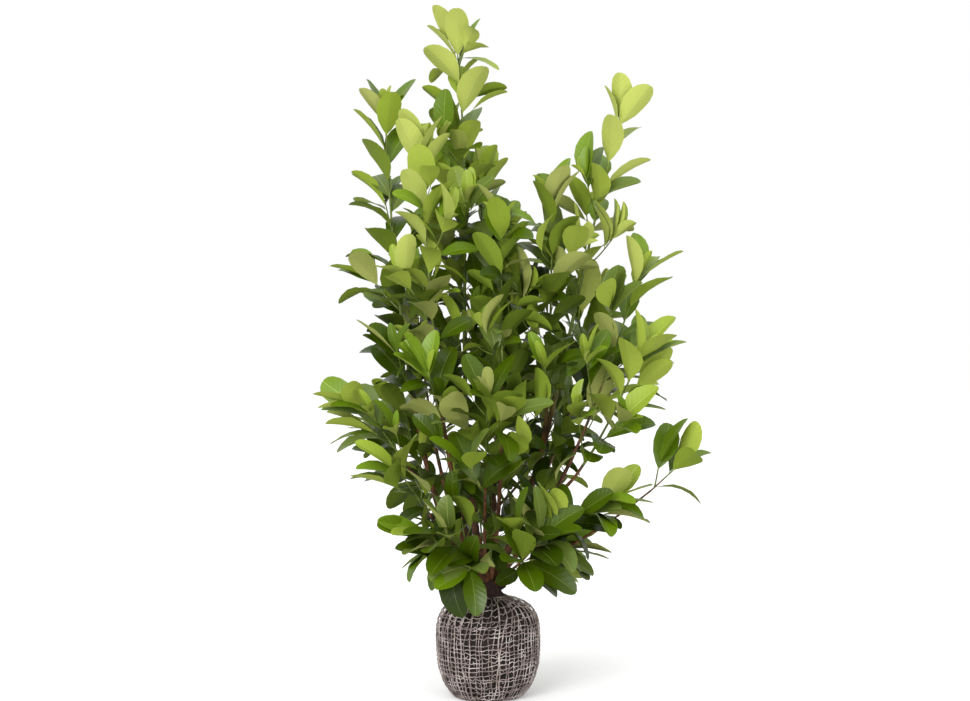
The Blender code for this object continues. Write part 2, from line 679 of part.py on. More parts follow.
def grown_leaf(limb, share, age, turn, luck):
    """The leaf that the rule sets at one place, turned this far round its limb."""
    heading = limb.line.heading(share)
    side = square_to(heading, Vector(LEAF_SIDE))
    out = around(heading, side, turn + luck.uniform(-LEAF_TURN_LUCK, LEAF_TURN_LUCK))
    level = 1.0 - abs(heading.z)
    out = (out + Vector((0.0, 0.0, -LEAF_LEVEL * level * out.z))).normalized()
    opening = blend(LEAF_OPENING_TIP, LEAF_OPENING_LOW, min(1.0, age * LEAF_OPENING_RATE))
    tilt = math.radians(opening + luck.uniform(-LEAF_OPENING_LUCK, LEAF_OPENING_LUCK))
    along = heading * math.cos(tilt) + out * math.sin(tilt)
    along.z -= LEAF_DROOP * age
    along.normalize()
    up = square_to(along, heading + Vector((0.0, 0.0, LEAF_LIGHT + level)))
    up = around(along, up, luck.uniform(-LEAF_ROLL_LUCK, LEAF_ROLL_LUCK))
    from_tip = age * (limb.end - limb.start) * limb.line.length
    youth = max(0.0, 1.0 - from_tip / LEAF_YOUNG_REACH)
    length = LEAF_LENGTH * blend(1.0, LEAF_YOUNG_LENGTH, youth) * luck.uniform(*LEAF_LENGTH_LUCK)
    half_width = 0.5 * LEAF_WIDTH * length * luck.uniform(*LEAF_WIDTH_LUCK)
    curl = LEAF_CURL * luck.uniform(*LEAF_CURL_LUCK)
    return Leaf(limb.line.at(share), along, up, length, half_width, curl)


def bough_object(shoot, boughs, cutters):
    """A bare bough, cut clear of the wood that it springs from and of its neighbours' feet."""
    bough = placed("bough_" + shoot.name, boughs[shoot.name].mesh(BOUGH_SIDES))
    apply_boolean(bough, "DIFFERENCE", [placed("cutter", cutter) for cutter in cutters])
    keep_largest(bough.data)
    coloured(bough, YOUNG_BARK if shoot.rise > GREEN_ABOVE else OLD_BARK, BARK_ROUGHNESS)
    return bough


def mass_object(shoot, crown):
    """A mass of leaves: its stem, twigs and leaves as one closed solid."""
    mass = placed("leaves_" + shoot.name, crown.stems[shoot.name].mesh(STEM_SIDES))
    parts = [placed("twig", twig.mesh(TWIG_SIDES)) for twig in crown.twigs[shoot.name]]
    parts += [placed("leaf", leaf.mesh()) for leaf in crown.leaves[shoot.name]]
    apply_boolean(mass, "UNION", parts)
    keep_largest(mass.data)
    coloured(mass, LEAF_GREENS[SHOOTS.index(shoot) % len(LEAF_GREENS)], LEAF_ROUGHNESS)
    return mass


def base_objects():
    """The root ball and the stool, with the stub of a sawn-off stem."""
    ball = placed("root_ball", lathed(ball_profile(), BALL_SIDES, lump))
    coloured(ball, NETTED_SOIL, SOIL_ROUGHNESS, smooth=True)
    stool = placed(STOOL, stool_mesh())
    apply_boolean(stool, "UNION", [placed(STUB, stub_mesh())])
    coloured(stool, OLD_BARK, BARK_ROUGHNESS, smooth=True)
    return [ball, stool]


def main():
    for obj in list(bpy.data.objects):
        bpy.data.objects.remove(obj)
    crown = Crown()
    solids = base_objects()
    cutters = {STOOL: stool_mesh(SWELL), STUB: stub_mesh(SWELL)}
    for shoot in SHOOTS:
        rooted = shoot.parent == STOOL
        near = [m for n, m in cutters.items() if n == shoot.parent or (rooted and n in FROM_STOOL)]
        solids.append(bough_object(shoot, crown.boughs, [mesh.copy() for mesh in near]))
        cutters[shoot.name] = crown.boughs[shoot.name].mesh(BOUGH_SIDES, SWELL)
    for solid in solids:
        crown.add_wood(solid.data)
    for name, stem in crown.stems.items():
        crown.add_wood(stem.mesh(STEM_SIDES), name)
    for index, shoot in enumerate(SHOOTS):
        crown.grow_twigs(index)
        crown.grow_leaves(index)
        mass_object(shoot, crown)
    return crown


if __name__ == "__main__":
    main()
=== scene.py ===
"""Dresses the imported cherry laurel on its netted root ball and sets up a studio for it.

The shoots, twigs and leaves of each mass grow here by the same seeded rule as in the part's own
source, so that every leaf of a mass gets its real outline in the same place. Finer spurs with more
leaves then grow on from them, inside the same reach. Lengths are metres and +Z is up.
"""

import bisect
import json
import logging
import math
import random
from dataclasses import dataclass, field
from enum import Enum
from typing import Any, Callable, Iterator

import bmesh
import bpy
import numpy as np
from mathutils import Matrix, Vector, noise
from mathutils.bvhtree import BVHTree

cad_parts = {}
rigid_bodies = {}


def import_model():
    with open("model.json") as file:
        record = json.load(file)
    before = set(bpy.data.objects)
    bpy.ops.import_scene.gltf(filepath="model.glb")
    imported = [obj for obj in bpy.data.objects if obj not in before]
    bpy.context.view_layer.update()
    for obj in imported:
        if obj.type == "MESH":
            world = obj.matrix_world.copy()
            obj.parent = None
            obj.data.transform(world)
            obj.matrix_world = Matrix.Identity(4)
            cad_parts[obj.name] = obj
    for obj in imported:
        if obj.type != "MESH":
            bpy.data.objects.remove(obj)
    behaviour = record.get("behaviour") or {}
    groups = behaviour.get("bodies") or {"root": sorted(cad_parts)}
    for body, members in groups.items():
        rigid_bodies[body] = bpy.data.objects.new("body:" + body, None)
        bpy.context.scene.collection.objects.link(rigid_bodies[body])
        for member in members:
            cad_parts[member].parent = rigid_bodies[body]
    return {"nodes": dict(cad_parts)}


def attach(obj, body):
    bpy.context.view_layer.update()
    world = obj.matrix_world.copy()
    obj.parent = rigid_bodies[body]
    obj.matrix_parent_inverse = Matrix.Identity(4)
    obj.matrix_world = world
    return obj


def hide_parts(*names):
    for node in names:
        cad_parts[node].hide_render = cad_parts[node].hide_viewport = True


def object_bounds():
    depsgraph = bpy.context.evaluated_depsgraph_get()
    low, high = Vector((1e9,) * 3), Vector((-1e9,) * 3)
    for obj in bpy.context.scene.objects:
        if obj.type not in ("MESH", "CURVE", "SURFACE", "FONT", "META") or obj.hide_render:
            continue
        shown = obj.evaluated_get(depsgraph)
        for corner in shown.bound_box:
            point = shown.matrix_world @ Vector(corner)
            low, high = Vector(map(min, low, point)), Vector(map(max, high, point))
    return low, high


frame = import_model()
CAD_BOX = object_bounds()

log = logging.getLogger("laurel")
UP = Vector((0.0, 0.0, 1.0))
BODY = "root"


# Small helpers


def srgb(code: str) -> tuple[float, float, float, float]:
    """Turns a colour written as sRGB hex into linear values.

    Args:
        code: The colour, such as "#8A7F6B".

    Returns:
        Linear red, green and blue, and an alpha of one.
    """
    parts = [int(code[i : i + 2], 16) / 255.0 for i in (1, 3, 5)]
    linear = [p / 12.92 if p <= 0.04045 else ((p + 0.055) / 1.055) ** 2.4 for p in parts]
    return (linear[0], linear[1], linear[2], 1.0)


def unit(azimuth: float, rise: float) -> Vector:
    """Gives the direction with an azimuth and an angle above level.

    Args:
        azimuth: Degrees from +X towards +Y.
        rise: Degrees above level.

    Returns:
        The unit direction.
    """
    a, r = math.radians(azimuth), math.radians(rise)
    return Vector((math.cos(a) * math.cos(r), math.sin(a) * math.cos(r), math.sin(r)))


def square_to(axis: Vector, wanted: Vector) -> Vector:
    """Gives the unit direction square to an axis that lies nearest to another.

    Args:
        axis: The unit axis.
        wanted: The direction to stay near to.

    Returns:
        The unit direction.
    """
    flat = wanted - axis * wanted.dot(axis)
    return (flat if flat.length > 1e-4 else axis.orthogonal()).normalized()


def around(axis: Vector, side: Vector, degrees: float) -> Vector:
    """Turns a direction that is square to an axis about it.

    Args:
        axis: The unit axis.
        side: The direction.
        degrees: How far it turns.

    Returns:
        The turned direction.
    """
    angle = math.radians(degrees)
    return side * math.cos(angle) + axis.cross(side) * math.sin(angle)


def blend(low: float, high: float, share: float) -> float:
    """Gives the value that lies a share of the way from low to high."""
    return low + (high - low) * share


def swing(attempt: int, step: float) -> float:
    """Gives the degrees that a later try turns by: to one side, to the other, then further."""
    return (attempt + 1) // 2 * (step if attempt % 2 else -step)


# Growth rule


@dataclass(frozen=True)
class Shoot:
    """One stem of the shrub: a bare bough, and the mass of leaves that it carries."""

    name: str
    tip: tuple[float, float, float]
    parent: str
    leaves_at: float
    rise: float
    tip_rise: float
    radius: float
    bare: float
    twigs: int
    twig_length: float
    reach: float
    seed: int
    sweep: float = 0.30


STOOL = "stool"
SHOOTS = (
    Shoot("left_leader", (-0.265, -0.03, 1.5), STOOL, 182, 26, 88, 0.0095, 0.4, 5, 0.14, 0.17, 9, 0.14),
    Shoot("top_leader", (-0.08, 0, 1.68), STOOL, 125, 66, 84, 0.01, 0.36, 6, 0.15, 0.17, 32),
    Shoot("mid_left", (-0.175, -0.1, 1.395), STOOL, 228, 56, 84, 0.008, 0.34, 4, 0.14, 0.15, 9),
    Shoot("centre", (-0.015, 0.07, 1.34), "top_leader", 0.62, 66, 86, 0.006, 0.22, 3, 0.14, 0.16, 38),
    Shoot("centre_front", (0.035, -0.13, 1.195), STOOL, 292, 64, 86, 0.007, 0.36, 4, 0.13, 0.15, 5),
    Shoot("right_leader", (0.345, 0, 1.5), STOOL, 8, 58, 74, 0.011, 0.38, 6, 0.14, 0.17, 23, 0.22),
    Shoot("right_inner", (0.165, -0.09, 1.27), "right_leader", 0.72, 60, 82, 0.0055, 0.2, 4, 0.12, 0.15, 28),
    Shoot("right_outer", (0.385, -0.05, 1.085), STOOL, 340, 44, 74, 0.008, 0.46, 4, 0.13, 0.17, 7, 0.26),
    Shoot("right_mid", (0.385, -0.15, 0.885), "right_outer", 0.66, 36, 62, 0.005, 0.24, 3, 0.12, 0.15, 8),
    Shoot("right_back", (0.3, 0.17, 1.02), STOOL, 38, 52, 78, 0.008, 0.44, 4, 0.14, 0.18, 36, 0.28),
    Shoot("back_mid", (0.04, 0.23, 1.21), STOOL, 82, 58, 84, 0.008, 0.38, 3, 0.15, 0.18, 38, 0.28),
    Shoot("back_left", (-0.2, 0.2, 1.09), STOOL, 148, 50, 82, 0.008, 0.42, 4, 0.14, 0.18, 36, 0.28),
    Shoot("back_low_left", (-0.23, 0.26, 0.69), "back_left", 0.52, 20, 60, 0.0045, 0.22, 3, 0.12, 0.17, 5),
    Shoot("back_low_right", (0.2, 0.3, 0.74), "back_mid", 0.5, 26, 62, 0.0045, 0.24, 3, 0.12, 0.17, 20),
    Shoot("left_arm", (-0.335, -0.05, 0.75), "left_leader", 0.6, 24, 30, 0.0045, 0.22, 3, 0.09, 0.16, 10),
    Shoot("left_low", (-0.225, -0.13, 0.59), "left_leader", 0.36, 26, 40, 0.0045, 0.2, 3, 0.1, 0.15, 33),
    Shoot("left_skirt", (-0.16, -0.13, 0.44), STOOL, 208, 36, 36, 0.005, 0.25, 3, 0.09, 0.14, 35),
    Shoot("front_shoot", (-0.003, -0.21, 0.77), STOOL, 262, 46, 86, 0.006, 0.46, 4, 0.12, 0.15, 23),
    Shoot("front_left", (-0.1, -0.23, 0.44), "front_shoot", 0.4, 24, 44, 0.004, 0.22, 3, 0.09, 0.14, 13),
    Shoot("front_right", (0.13, -0.22, 0.44), STOOL, 316, 34, 48, 0.005, 0.42, 3, 0.1, 0.15, 33),
    Shoot("right_low", (0.32, -0.1, 0.52), "right_outer", 0.42, 26, 36, 0.0045, 0.22, 3, 0.11, 0.15, 19),
    Shoot("right_skirt", (0.2, 0.02, 0.395), STOOL, 24, 24, 30, 0.005, 0.25, 3, 0.09, 0.14, 20),
    Shoot("right_arm", (0.49, -0.04, 0.6), STOOL, 356, 26, 46, 0.0055, 0.76, 1, 0.07, 0.15, 37),
    Shoot("back_skirt", (-0.02, 0.24, 0.44), STOOL, 104, 30, 44, 0.005, 0.4, 3, 0.1, 0.16, 10),
)


@dataclass(frozen=True)
class LimbRule:
    """How boughs and stems run and taper."""

    gap: float = 0.0003
    ball_height: float = 0.256
    fork_low: float = 0.016
    fork_high: float = 0.046
    fork_steep: float = 66.0
    fork_spread: float = 0.013
    step: float = 0.105
    runs: int = 4
    sides: int = 3
    tip_radius: float = 0.0018
    tip_sweep: float = 0.34
    flare: float = 0.35
    flare_fall: float = 22.0
    taper_power: float = 0.8
    curve_points: int = 48
    heading_span: float = 0.02
    bend_room: float = 0.01


@dataclass(frozen=True)
class TwigRule:
    """How side twigs leave a stem."""

    sides: int = 3
    step: float = 0.090
    runs: int = 2
    radius: float = 0.0024
    tip_radius: float = 0.0014
    turn: float = 144.0
    turn_luck: float = 15.0
    seed_turn: float = 77.0
    opening: float = 50.0
    opening_luck: float = 8.0
    lift: float = 0.55
    lever: float = 0.35
    place_luck: tuple[float, float] = (0.1, 0.5)
    length_low: float = 1.15
    length_high: float = 0.55
    length_luck: tuple[float, float] = (0.85, 1.15)
    first: float = 0.04
    last: float = 0.74
    tries: int = 7
    swing: float = 30.0
    room: float = 0.002
    root_free: float = 0.20
    samples: tuple[float, ...] = (0.4, 0.7, 1.0)


@dataclass(frozen=True)
class LeafRule:
    """A leaf's proportions and how leaves stand on a shoot."""

    length: float = 0.146
    width: float = 0.46
    fold: float = 0.26
    curl: float = 0.10
    lift: float = 0.012
    middle: float = 0.55
    shoulder: tuple[float, float] = (0.48, 0.98)
    brow: tuple[float, float] = (0.97, 0.44)
    spacing: float = 0.0395
    twig_spacing: float = 0.85
    stem_first: float = 0.012
    twig_first: float = 0.030
    tip_spacing: float = 0.010
    tip_leaves: int = 4
    tip_back: float = 0.003
    turn: float = 137.5
    turn_luck: float = 16.0
    opening_low: float = 64.0
    opening_tip: float = 27.0
    opening_luck: float = 9.0
    opening_rate: float = 1.6
    level: float = 0.55
    droop: float = 0.10
    light: float = 0.35
    roll_luck: float = 24.0
    young_reach: float = 0.08
    young_length: float = 0.90
    length_luck: tuple[float, float] = (0.86, 1.08)
    width_luck: tuple[float, float] = (0.90, 1.10)
    curl_luck: tuple[float, float] = (0.3, 1.5)
    tries: int = 8
    swing: float = 26.0
    guard: float = 1.05
    root_free: float = 0.16
    sphere: float = 0.6


@dataclass(frozen=True)
class SpaceRule:
    """The space round a mass's stem that its twigs and leaves keep to."""

    margin: float = 0.002
    cap: float = 1.55
    points: int = 14
    beyond: tuple[float, ...] = (0.05, 0.10)


@dataclass(frozen=True)
class SpurRule:
    """The finer spurs that only the dressed plant has, between the leaves of a limb."""

    spacing: float = 0.040
    bough_spacing: float = 0.050
    bough_first: float = 0.30
    length: tuple[float, float] = (0.026, 0.064)
    radius: float = 0.0015
    tip_radius: float = 0.0010
    opening: float = 56.0
    opening_luck: float = 12.0
    lift: float = 0.5
    lever: float = 0.3
    turn: float = 99.5
    leaves: int = 4
    leaf_spacing: float = 0.012
    leaf_tip: float = 0.001
    leaf_first: float = 0.15
    leaf_size: tuple[float, float] = (0.66, 0.96)
    age: tuple[float, float] = (0.40, 0.85)
    reach: float = 0.90
    inner: float = 0.20
    tries: int = 8


@dataclass(frozen=True)
class BudRule:
    """The half-unfolded young leaves at the tips of the shoots."""

    leaves: int = 3
    turn: float = 137.5
    opening: tuple[float, float] = (12.0, 42.0)
    length: tuple[float, float] = (0.055, 0.105)
    width: tuple[float, float] = (0.26, 0.38)
    fold: float = 2.6
    curl: tuple[float, float] = (0.02, 0.16)
    lowest: float = 0.66
    tries: int = 5


# How much lighter than the rule's the leaves of some shoots are in the photograph
TONES = {
    "left_leader": -0.14,
    "top_leader": 0.06,
    "mid_left": 0.12,
    "centre": 0.06,
    "centre_front": -0.08,
    "right_leader": 0.03,
    "left_arm": 0.12,
    "left_low": 0.10,
    "left_skirt": 0.10,
    "right_low": 0.12,
    "right_skirt": 0.16,
    "right_arm": -0.06,
}
LIMBS, TWIGS, LEAVES = LimbRule(), TwigRule(), LeafRule()
SPACES, SPURS, BUDS = SpaceRule(), SpurRule(), BudRule()
RIM = ((0, 2), (2, 4), (4, 5), (5, 3), (3, 0))
BLADE_FACES = (*((6, a, b) for b, a in RIM), *((1, a, b) for a, b in RIM))


class Line:
    """The line that a limb follows, in short straight runs, walked by share of its length."""

    def __init__(self, points: list[Vector]) -> None:
        """Measures the runs.

        Args:
            points: Where it starts, bends and ends.
        """
        self.points = points
        self.travel = [0.0]
        for a, b in zip(points, points[1:]):
            self.travel.append(self.travel[-1] + (b - a).length)
        self.length = self.travel[-1]

    def at(self, share: float) -> Vector:
        """Gives the point at a share of the length."""
        wanted = min(max(share, 0.0), 1.0) * self.length
        i = min(bisect.bisect_right(self.travel, wanted) - 1, len(self.points) - 2)
        span = self.travel[i + 1] - self.travel[i]
        return self.points[i].lerp(self.points[i + 1], (wanted - self.travel[i]) / span)

    def heading(self, share: float) -> Vector:
        """Gives the unit direction at a share of the length."""
        span = LIMBS.heading_span
        return (self.at(share + span) - self.at(share - span)).normalized()

    def stations(self, start: float, end: float) -> list[float]:
        """Gives the shares from start to end at which it bends, with both ends."""
        room = LIMBS.bend_room
        bends = [travel / self.length for travel in self.travel]
        return [start, *(b for b in bends if start + room < b < end - room), end]


def curve(start: Vector, first: Vector, last: Vector, end: Vector, step: float, fewest: int) -> Line:
    """Lays a line along a cubic curve in equal straight runs.

    Args:
        start: Where it starts.
        first: The first control point.
        last: The second control point.
        end: Where it ends.
        step: The longest run.
        fewest: The fewest runs.

    Returns:
        The line.
    """
    fine = []
    for i in range(LIMBS.curve_points + 1):
        t = i / LIMBS.curve_points
        u = 1.0 - t
        fine.append(u**3 * start + 3 * u * u * t * first + 3 * u * t * t * last + t**3 * end)
    smooth = Line(fine)
    runs = max(fewest, math.ceil(smooth.length / step))
    return Line([smooth.at(i / runs) for i in range(runs + 1)])


@dataclass
class Limb:
    """A bough, stem or twig: its line, the stretch of it that is solid, and its radii."""

    line: Line
    start: float
    end: float
    radius: float
    tip_radius: float
    flare: float = 0.0

    def radius_at(self, share: float) -> float:
        """Gives the radius at a share of the line."""
        swell = self.flare * self.radius * math.exp(-share * LIMBS.flare_fall)
        return swell + blend(self.radius, self.tip_radius, min(1.0, share**LIMBS.taper_power))

    def shell(self, sides: int, swell: float = 0.0) -> tuple[list[Vector], list[tuple[int, ...]]]:
        """Gives the tube's corners and faces, for finding what touches it.

        Args:
            sides: How many sides it has.
            swell: How much wider it is made.

        Returns:
            The corners, and the faces as numbers of corners.
        """
        angles = [math.tau * i / sides for i in range(sides)]
        ring = [Vector((-math.sin(a), math.cos(a), 0.0)) for a in angles]
        centre, axis, radius = Vector(), UP.copy(), 1.0
        corners: list[Vector] = []
        for share in self.line.stations(self.start, self.end):
            turn = axis.rotation_difference(self.line.heading(share))
            grow = (self.radius_at(share) + swell) / radius
            ring = [self.line.at(share) + turn @ (p - centre) * grow for p in ring]
            corners += ring
            centre, axis = self.line.at(share), self.line.heading(share)
            radius *= grow
        faces: list[tuple[int, ...]] = [tuple(reversed(range(sides)))]
        for low in range(0, len(corners) - sides, sides):
            for i in range(sides):
                j = (i + 1) % sides
                faces.append((low + i, low + j, low + sides + j))
                faces.append((low + i, low + sides + j, low + sides + i))
        faces.append(tuple(range(len(corners) - sides, len(corners))))
        return corners, faces


@dataclass
class Leaf:
    """A leaf's root, the way it points, the way its upper side faces, and its sizes."""

    root: Vector
    along: Vector
    up: Vector
    length: float
    half_width: float
    curl: float
    age: float = 0.0
    fold: float = 1.0
    shade: float = 0.0

    def point(self, x: float, y: float, lift: float = 0.0) -> Vector:
        """Gives a place on it, x in lengths and y in half widths, with its fold and its curl."""
        across = self.up.cross(self.along)
        height = LEAVES.fold * abs(y) * self.half_width + (lift - self.curl * x * x) * self.length
        return self.root + x * self.length * self.along + y * self.half_width * across + height * self.up

    def corners(self, start: float = 0.0, guard: float = 1.0) -> list[Vector]:
        """Gives the corners of its plain blade.

        Args:
            start: Where along the leaf the blade begins.
            guard: How much larger than the leaf it is.

        Returns:
            Root, middle below, left and right shoulder, left and right brow, and middle above.
        """
        places = [(start, 0.0, 0.0), (LEAVES.middle, 0.0, -LEAVES.lift * guard)]
        for x, y in (LEAVES.shoulder, LEAVES.brow):
            places += [(x * guard, y * guard, 0.0), (x * guard, -y * guard, 0.0)]
        places.append((LEAVES.middle, 0.0, LEAVES.lift * guard))
        return [self.point(*place) for place in places]


@dataclass
class Bodies:
    """Shapes that nothing may touch, each with the sphere round it and the mass that owns it."""

    middles: list[Vector] = field(default_factory=list)
    radii: list[float] = field(default_factory=list)
    trees: list[BVHTree] = field(default_factory=list)
    owners: list[str] = field(default_factory=list)

    def add(self, middle: Vector, radius: float, tree: BVHTree, owner: str) -> None:
        """Notes one more shape."""
        self.middles.append(middle)
        self.radii.append(radius)
        self.trees.append(tree)
        self.owners.append(owner)

    def add_shell(self, corners: list[Vector], faces: list[tuple[int, ...]], owner: str = "") -> None:
        """Notes a shape that is given by its corners and faces.

        Args:
            corners: Its corners.
            faces: Its faces, as numbers of corners.
            owner: The mass that it belongs to, if any.
        """
        middle = sum(corners, Vector()) / len(corners)
        radius = max((p - middle).length for p in corners)
        self.add(middle, radius, BVHTree.FromPolygons(corners, faces), owner)

    def touched(self, tree: BVHTree, middle: Vector, radius: float, keep: Callable[[str], bool]) -> bool:
        """Tells whether a shape touches one of these.

        Args:
            tree: The shape's faces.
            middle: The middle of the sphere round it.
            radius: That sphere's radius.
            keep: Which owners' shapes count.

        Returns:
            True if it touches one that counts.
        """
        for place, reach, other, owner in zip(self.middles, self.radii, self.trees, self.owners):
            near = (place - middle).length < reach + radius
            if near and keep(owner) and tree.overlap(other):
                return True
        return False


class Crown:
    """All the limbs and leaves, each kept inside its mass's own space and clear of the rest."""

    def __init__(self, cad: list[bpy.types.Object]) -> None:
        """Lays out the boughs and stems.

        Args:
            cad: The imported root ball, stool and boughs, which the leaves keep clear of.
        """
        self.boughs: dict[str, Limb] = {}
        self.stems: dict[str, Limb] = {}
        for shoot in SHOOTS:
            line = self.shoot_line(shoot)
            runs = len(line.points) - 1
            bare = round(shoot.bare * runs) / runs
            start = bare + LIMBS.gap / line.length
            self.boughs[shoot.name] = Limb(line, 0.0, bare, shoot.radius, LIMBS.tip_radius, LIMBS.flare)
            self.stems[shoot.name] = Limb(line, start, 1.0, shoot.radius, LIMBS.tip_radius)
        self.axes = [self.space_axis(stem) for stem in self.stems.values()]
        self.reaches = np.array([shoot.reach for shoot in SHOOTS])
        self.twigs: dict[str, list[Limb]] = {}
        self.leaves: dict[str, list[Leaf]] = {}
        self.spurs: dict[str, list[Limb]] = {shoot.name: [] for shoot in SHOOTS}
        self.extra: dict[str, list[Leaf]] = {shoot.name: [] for shoot in SHOOTS}
        self.wood = Bodies()
        self.blades = Bodies()
        for obj in cad:
            corners = [obj.matrix_world @ v.co for v in obj.data.vertices]
            self.wood.add_shell(corners, [tuple(p.vertices) for p in obj.data.polygons])
        for name, stem in self.stems.items():
            self.wood.add_shell(*stem.shell(LIMBS.sides), name)

    def shoot_line(self, shoot: Shoot) -> Line:
        """Lays the line of a shoot.

        Args:
            shoot: The shoot.

        Returns:
            Its line, from inside its parent to its tip.
        """
        tip = Vector(shoot.tip)
        if shoot.parent == STOOL:
            height = LIMBS.ball_height + blend(LIMBS.fork_low, LIMBS.fork_high, shoot.rise / LIMBS.fork_steep)
            foot = Vector((0.0, 0.0, height)) + LIMBS.fork_spread * unit(shoot.leaves_at, 0.0)
        else:
            parent = self.boughs[shoot.parent]
            foot = parent.line.at(shoot.leaves_at * parent.end)
        outward = math.degrees(math.atan2(tip.y - foot.y, tip.x - foot.x))
        azimuth = shoot.leaves_at if shoot.parent == STOOL else outward
        span = (tip - foot).length
        first = foot + unit(azimuth, shoot.rise) * span * shoot.sweep
        last = tip - unit(outward, shoot.tip_rise) * span * LIMBS.tip_sweep
        return curve(foot, first, last, tip, LIMBS.step, LIMBS.runs)

    def space_axis(self, stem: Limb) -> np.ndarray:
        """Gives points along a mass's stem and a little past its tip, which its space surrounds."""
        line = stem.line
        points = [line.at(s) for s in np.linspace(stem.start, 1.0, SPACES.points)]
        points += [line.at(1.0) + line.heading(1.0) * past for past in SPACES.beyond]
        return np.array([tuple(p) for p in points])

    def in_box(self, points: list[Vector]) -> bool:
        """Tells whether points lie inside the box that the solids fill."""
        low, high = CAD_BOX
        return all(low[i] <= p[i] <= high[i] for p in points for i in range(3))

    def in_reach(self, index: int, points: list[Vector]) -> bool:
        """Tells whether points lie within a mass's own reach and inside the box that the solids fill.

        Args:
            index: The mass's number.
            points: The points.

        Returns:
            True if all of them do.
        """
        if not self.in_box(points):
            return False
        places = np.array([tuple(p) for p in points])
        away = np.linalg.norm(places[:, None] - self.axes[index][None], axis=2).min(axis=1)
        return bool((away < SPURS.reach * self.reaches[index]).all())

    def in_space(self, index: int, points: list[Vector], margin: float) -> bool:
        """Tells whether points lie in a mass's own space.

        Args:
            index: The mass's number.
            points: The points.
            margin: How far from the space's edge they have to be.

        Returns:
            True if all of them do.
        """
        places = np.array([tuple(p) for p in points])
        away = [np.linalg.norm(places[:, None] - axis[None], axis=2).min(axis=1) for axis in self.axes]
        share = np.array(away) / self.reaches[:, None]
        own = share[index].copy()
        share[index] = np.inf
        room = margin / self.reaches[index]
        return bool((own + room < share.min(axis=0)).all() and (own < SPACES.cap).all())

    def grow(self) -> None:
        """Grows every mass's twigs and leaves, and then the finer spurs on all of them."""
        for index in range(len(SHOOTS)):
            self.grow_twigs(index)
            self.grow_leaves(index)
        for index in range(len(SHOOTS)):
            self.grow_buds(index)
        for index in range(len(SHOOTS)):
            self.grow_spurs(index)

    def clear_twig(self, twig: Limb) -> bool:
        """Tells whether a twig has room among the other limbs and leaves."""
        room = Limb(twig.line, TWIGS.root_free, 1.0, TWIGS.radius, TWIGS.radius)
        tree = BVHTree.FromPolygons(*room.shell(TWIGS.sides, TWIGS.room))
        middle, radius = twig.line.at(0.5), twig.line.length * LEAVES.sphere
        return not any(
            bodies.touched(tree, middle, radius, lambda owner: True) for bodies in (self.wood, self.blades)
        )

    def grow_twigs(self, index: int) -> None:
        """Grows the side twigs of a mass, spiralling up its stem.

        Args:
            index: The mass's number.
        """
        shoot = SHOOTS[index]
        grown = []
        for number in range(shoot.twigs):
            for attempt in range(TWIGS.tries):
                twig = self.grown_twig(shoot, number, attempt)
                samples = [twig.line.at(s) for s in TWIGS.samples]
                if not self.in_space(index, samples, SPACES.margin + TWIGS.radius):
                    continue
                if self.clear_twig(twig):
                    grown.append(twig)
                    break
        self.twigs[shoot.name] = grown
        for twig in grown:
            self.wood.add_shell(*twig.shell(TWIGS.sides), shoot.name)

    def grown_twig(self, shoot: Shoot, number: int, attempt: int) -> Limb:
        """Gives the twig that the rule sets at one place.

        Args:
            shoot: The shoot that it is on.
            number: Its number, from the foot up.
            attempt: The number of the try, each turned further round the stem.

        Returns:
            The twig.
        """
        stem = self.stems[shoot.name]
        luck = random.Random((shoot.seed * 1009 + number) * 13 + attempt)
        spin = shoot.seed * TWIGS.seed_turn + number * TWIGS.turn
        spin += luck.uniform(-TWIGS.turn_luck, TWIGS.turn_luck) + swing(attempt, TWIGS.swing)
        up_stem = blend(TWIGS.first, TWIGS.last, (number + luck.uniform(*TWIGS.place_luck)) / shoot.twigs)
        length = shoot.twig_length * blend(TWIGS.length_low, TWIGS.length_high, up_stem)
        length *= luck.uniform(*TWIGS.length_luck)
        share = blend(stem.start, 1.0, up_stem)
        heading = stem.line.heading(share)
        out = around(heading, square_to(heading, Vector((0.0, -1.0, 0.2))), spin)
        opening = math.radians(TWIGS.opening + luck.uniform(-TWIGS.opening_luck, TWIGS.opening_luck))
        first = heading * math.cos(opening) + out * math.sin(opening)
        last = (first + Vector((0.0, 0.0, TWIGS.lift))).normalized()
        foot = stem.line.at(share)
        end = foot + length * 0.5 * (first + last)
        lever = TWIGS.lever * length
        line = curve(foot, foot + lever * first, end - lever * last, end, TWIGS.step, TWIGS.runs)
        return Limb(line, 0.0, 1.0, TWIGS.radius, TWIGS.tip_radius)

    def has_room(self, leaf: Leaf, owner: str) -> bool:
        """Tells whether a leaf touches nothing but, near its root, its own mass's wood, and notes it then.

        Args:
            leaf: The leaf.
            owner: The mass that it belongs to.

        Returns:
            True if it has room.
        """
        middle = leaf.point(LEAVES.middle, 0.0)
        radius = leaf.length * LEAVES.sphere
        blade = BVHTree.FromPolygons(leaf.corners(LEAVES.root_free, LEAVES.guard), BLADE_FACES)
        whole = BVHTree.FromPolygons(leaf.corners(0.0, LEAVES.guard), BLADE_FACES)
        if self.wood.touched(whole, middle, radius, lambda other: other != owner):
            return False
        if self.wood.touched(blade, middle, radius, lambda other: other == owner):
            return False
        if self.blades.touched(blade, middle, radius, lambda other: True):
            return False
        self.blades.add(middle, radius, blade, owner)
        return True

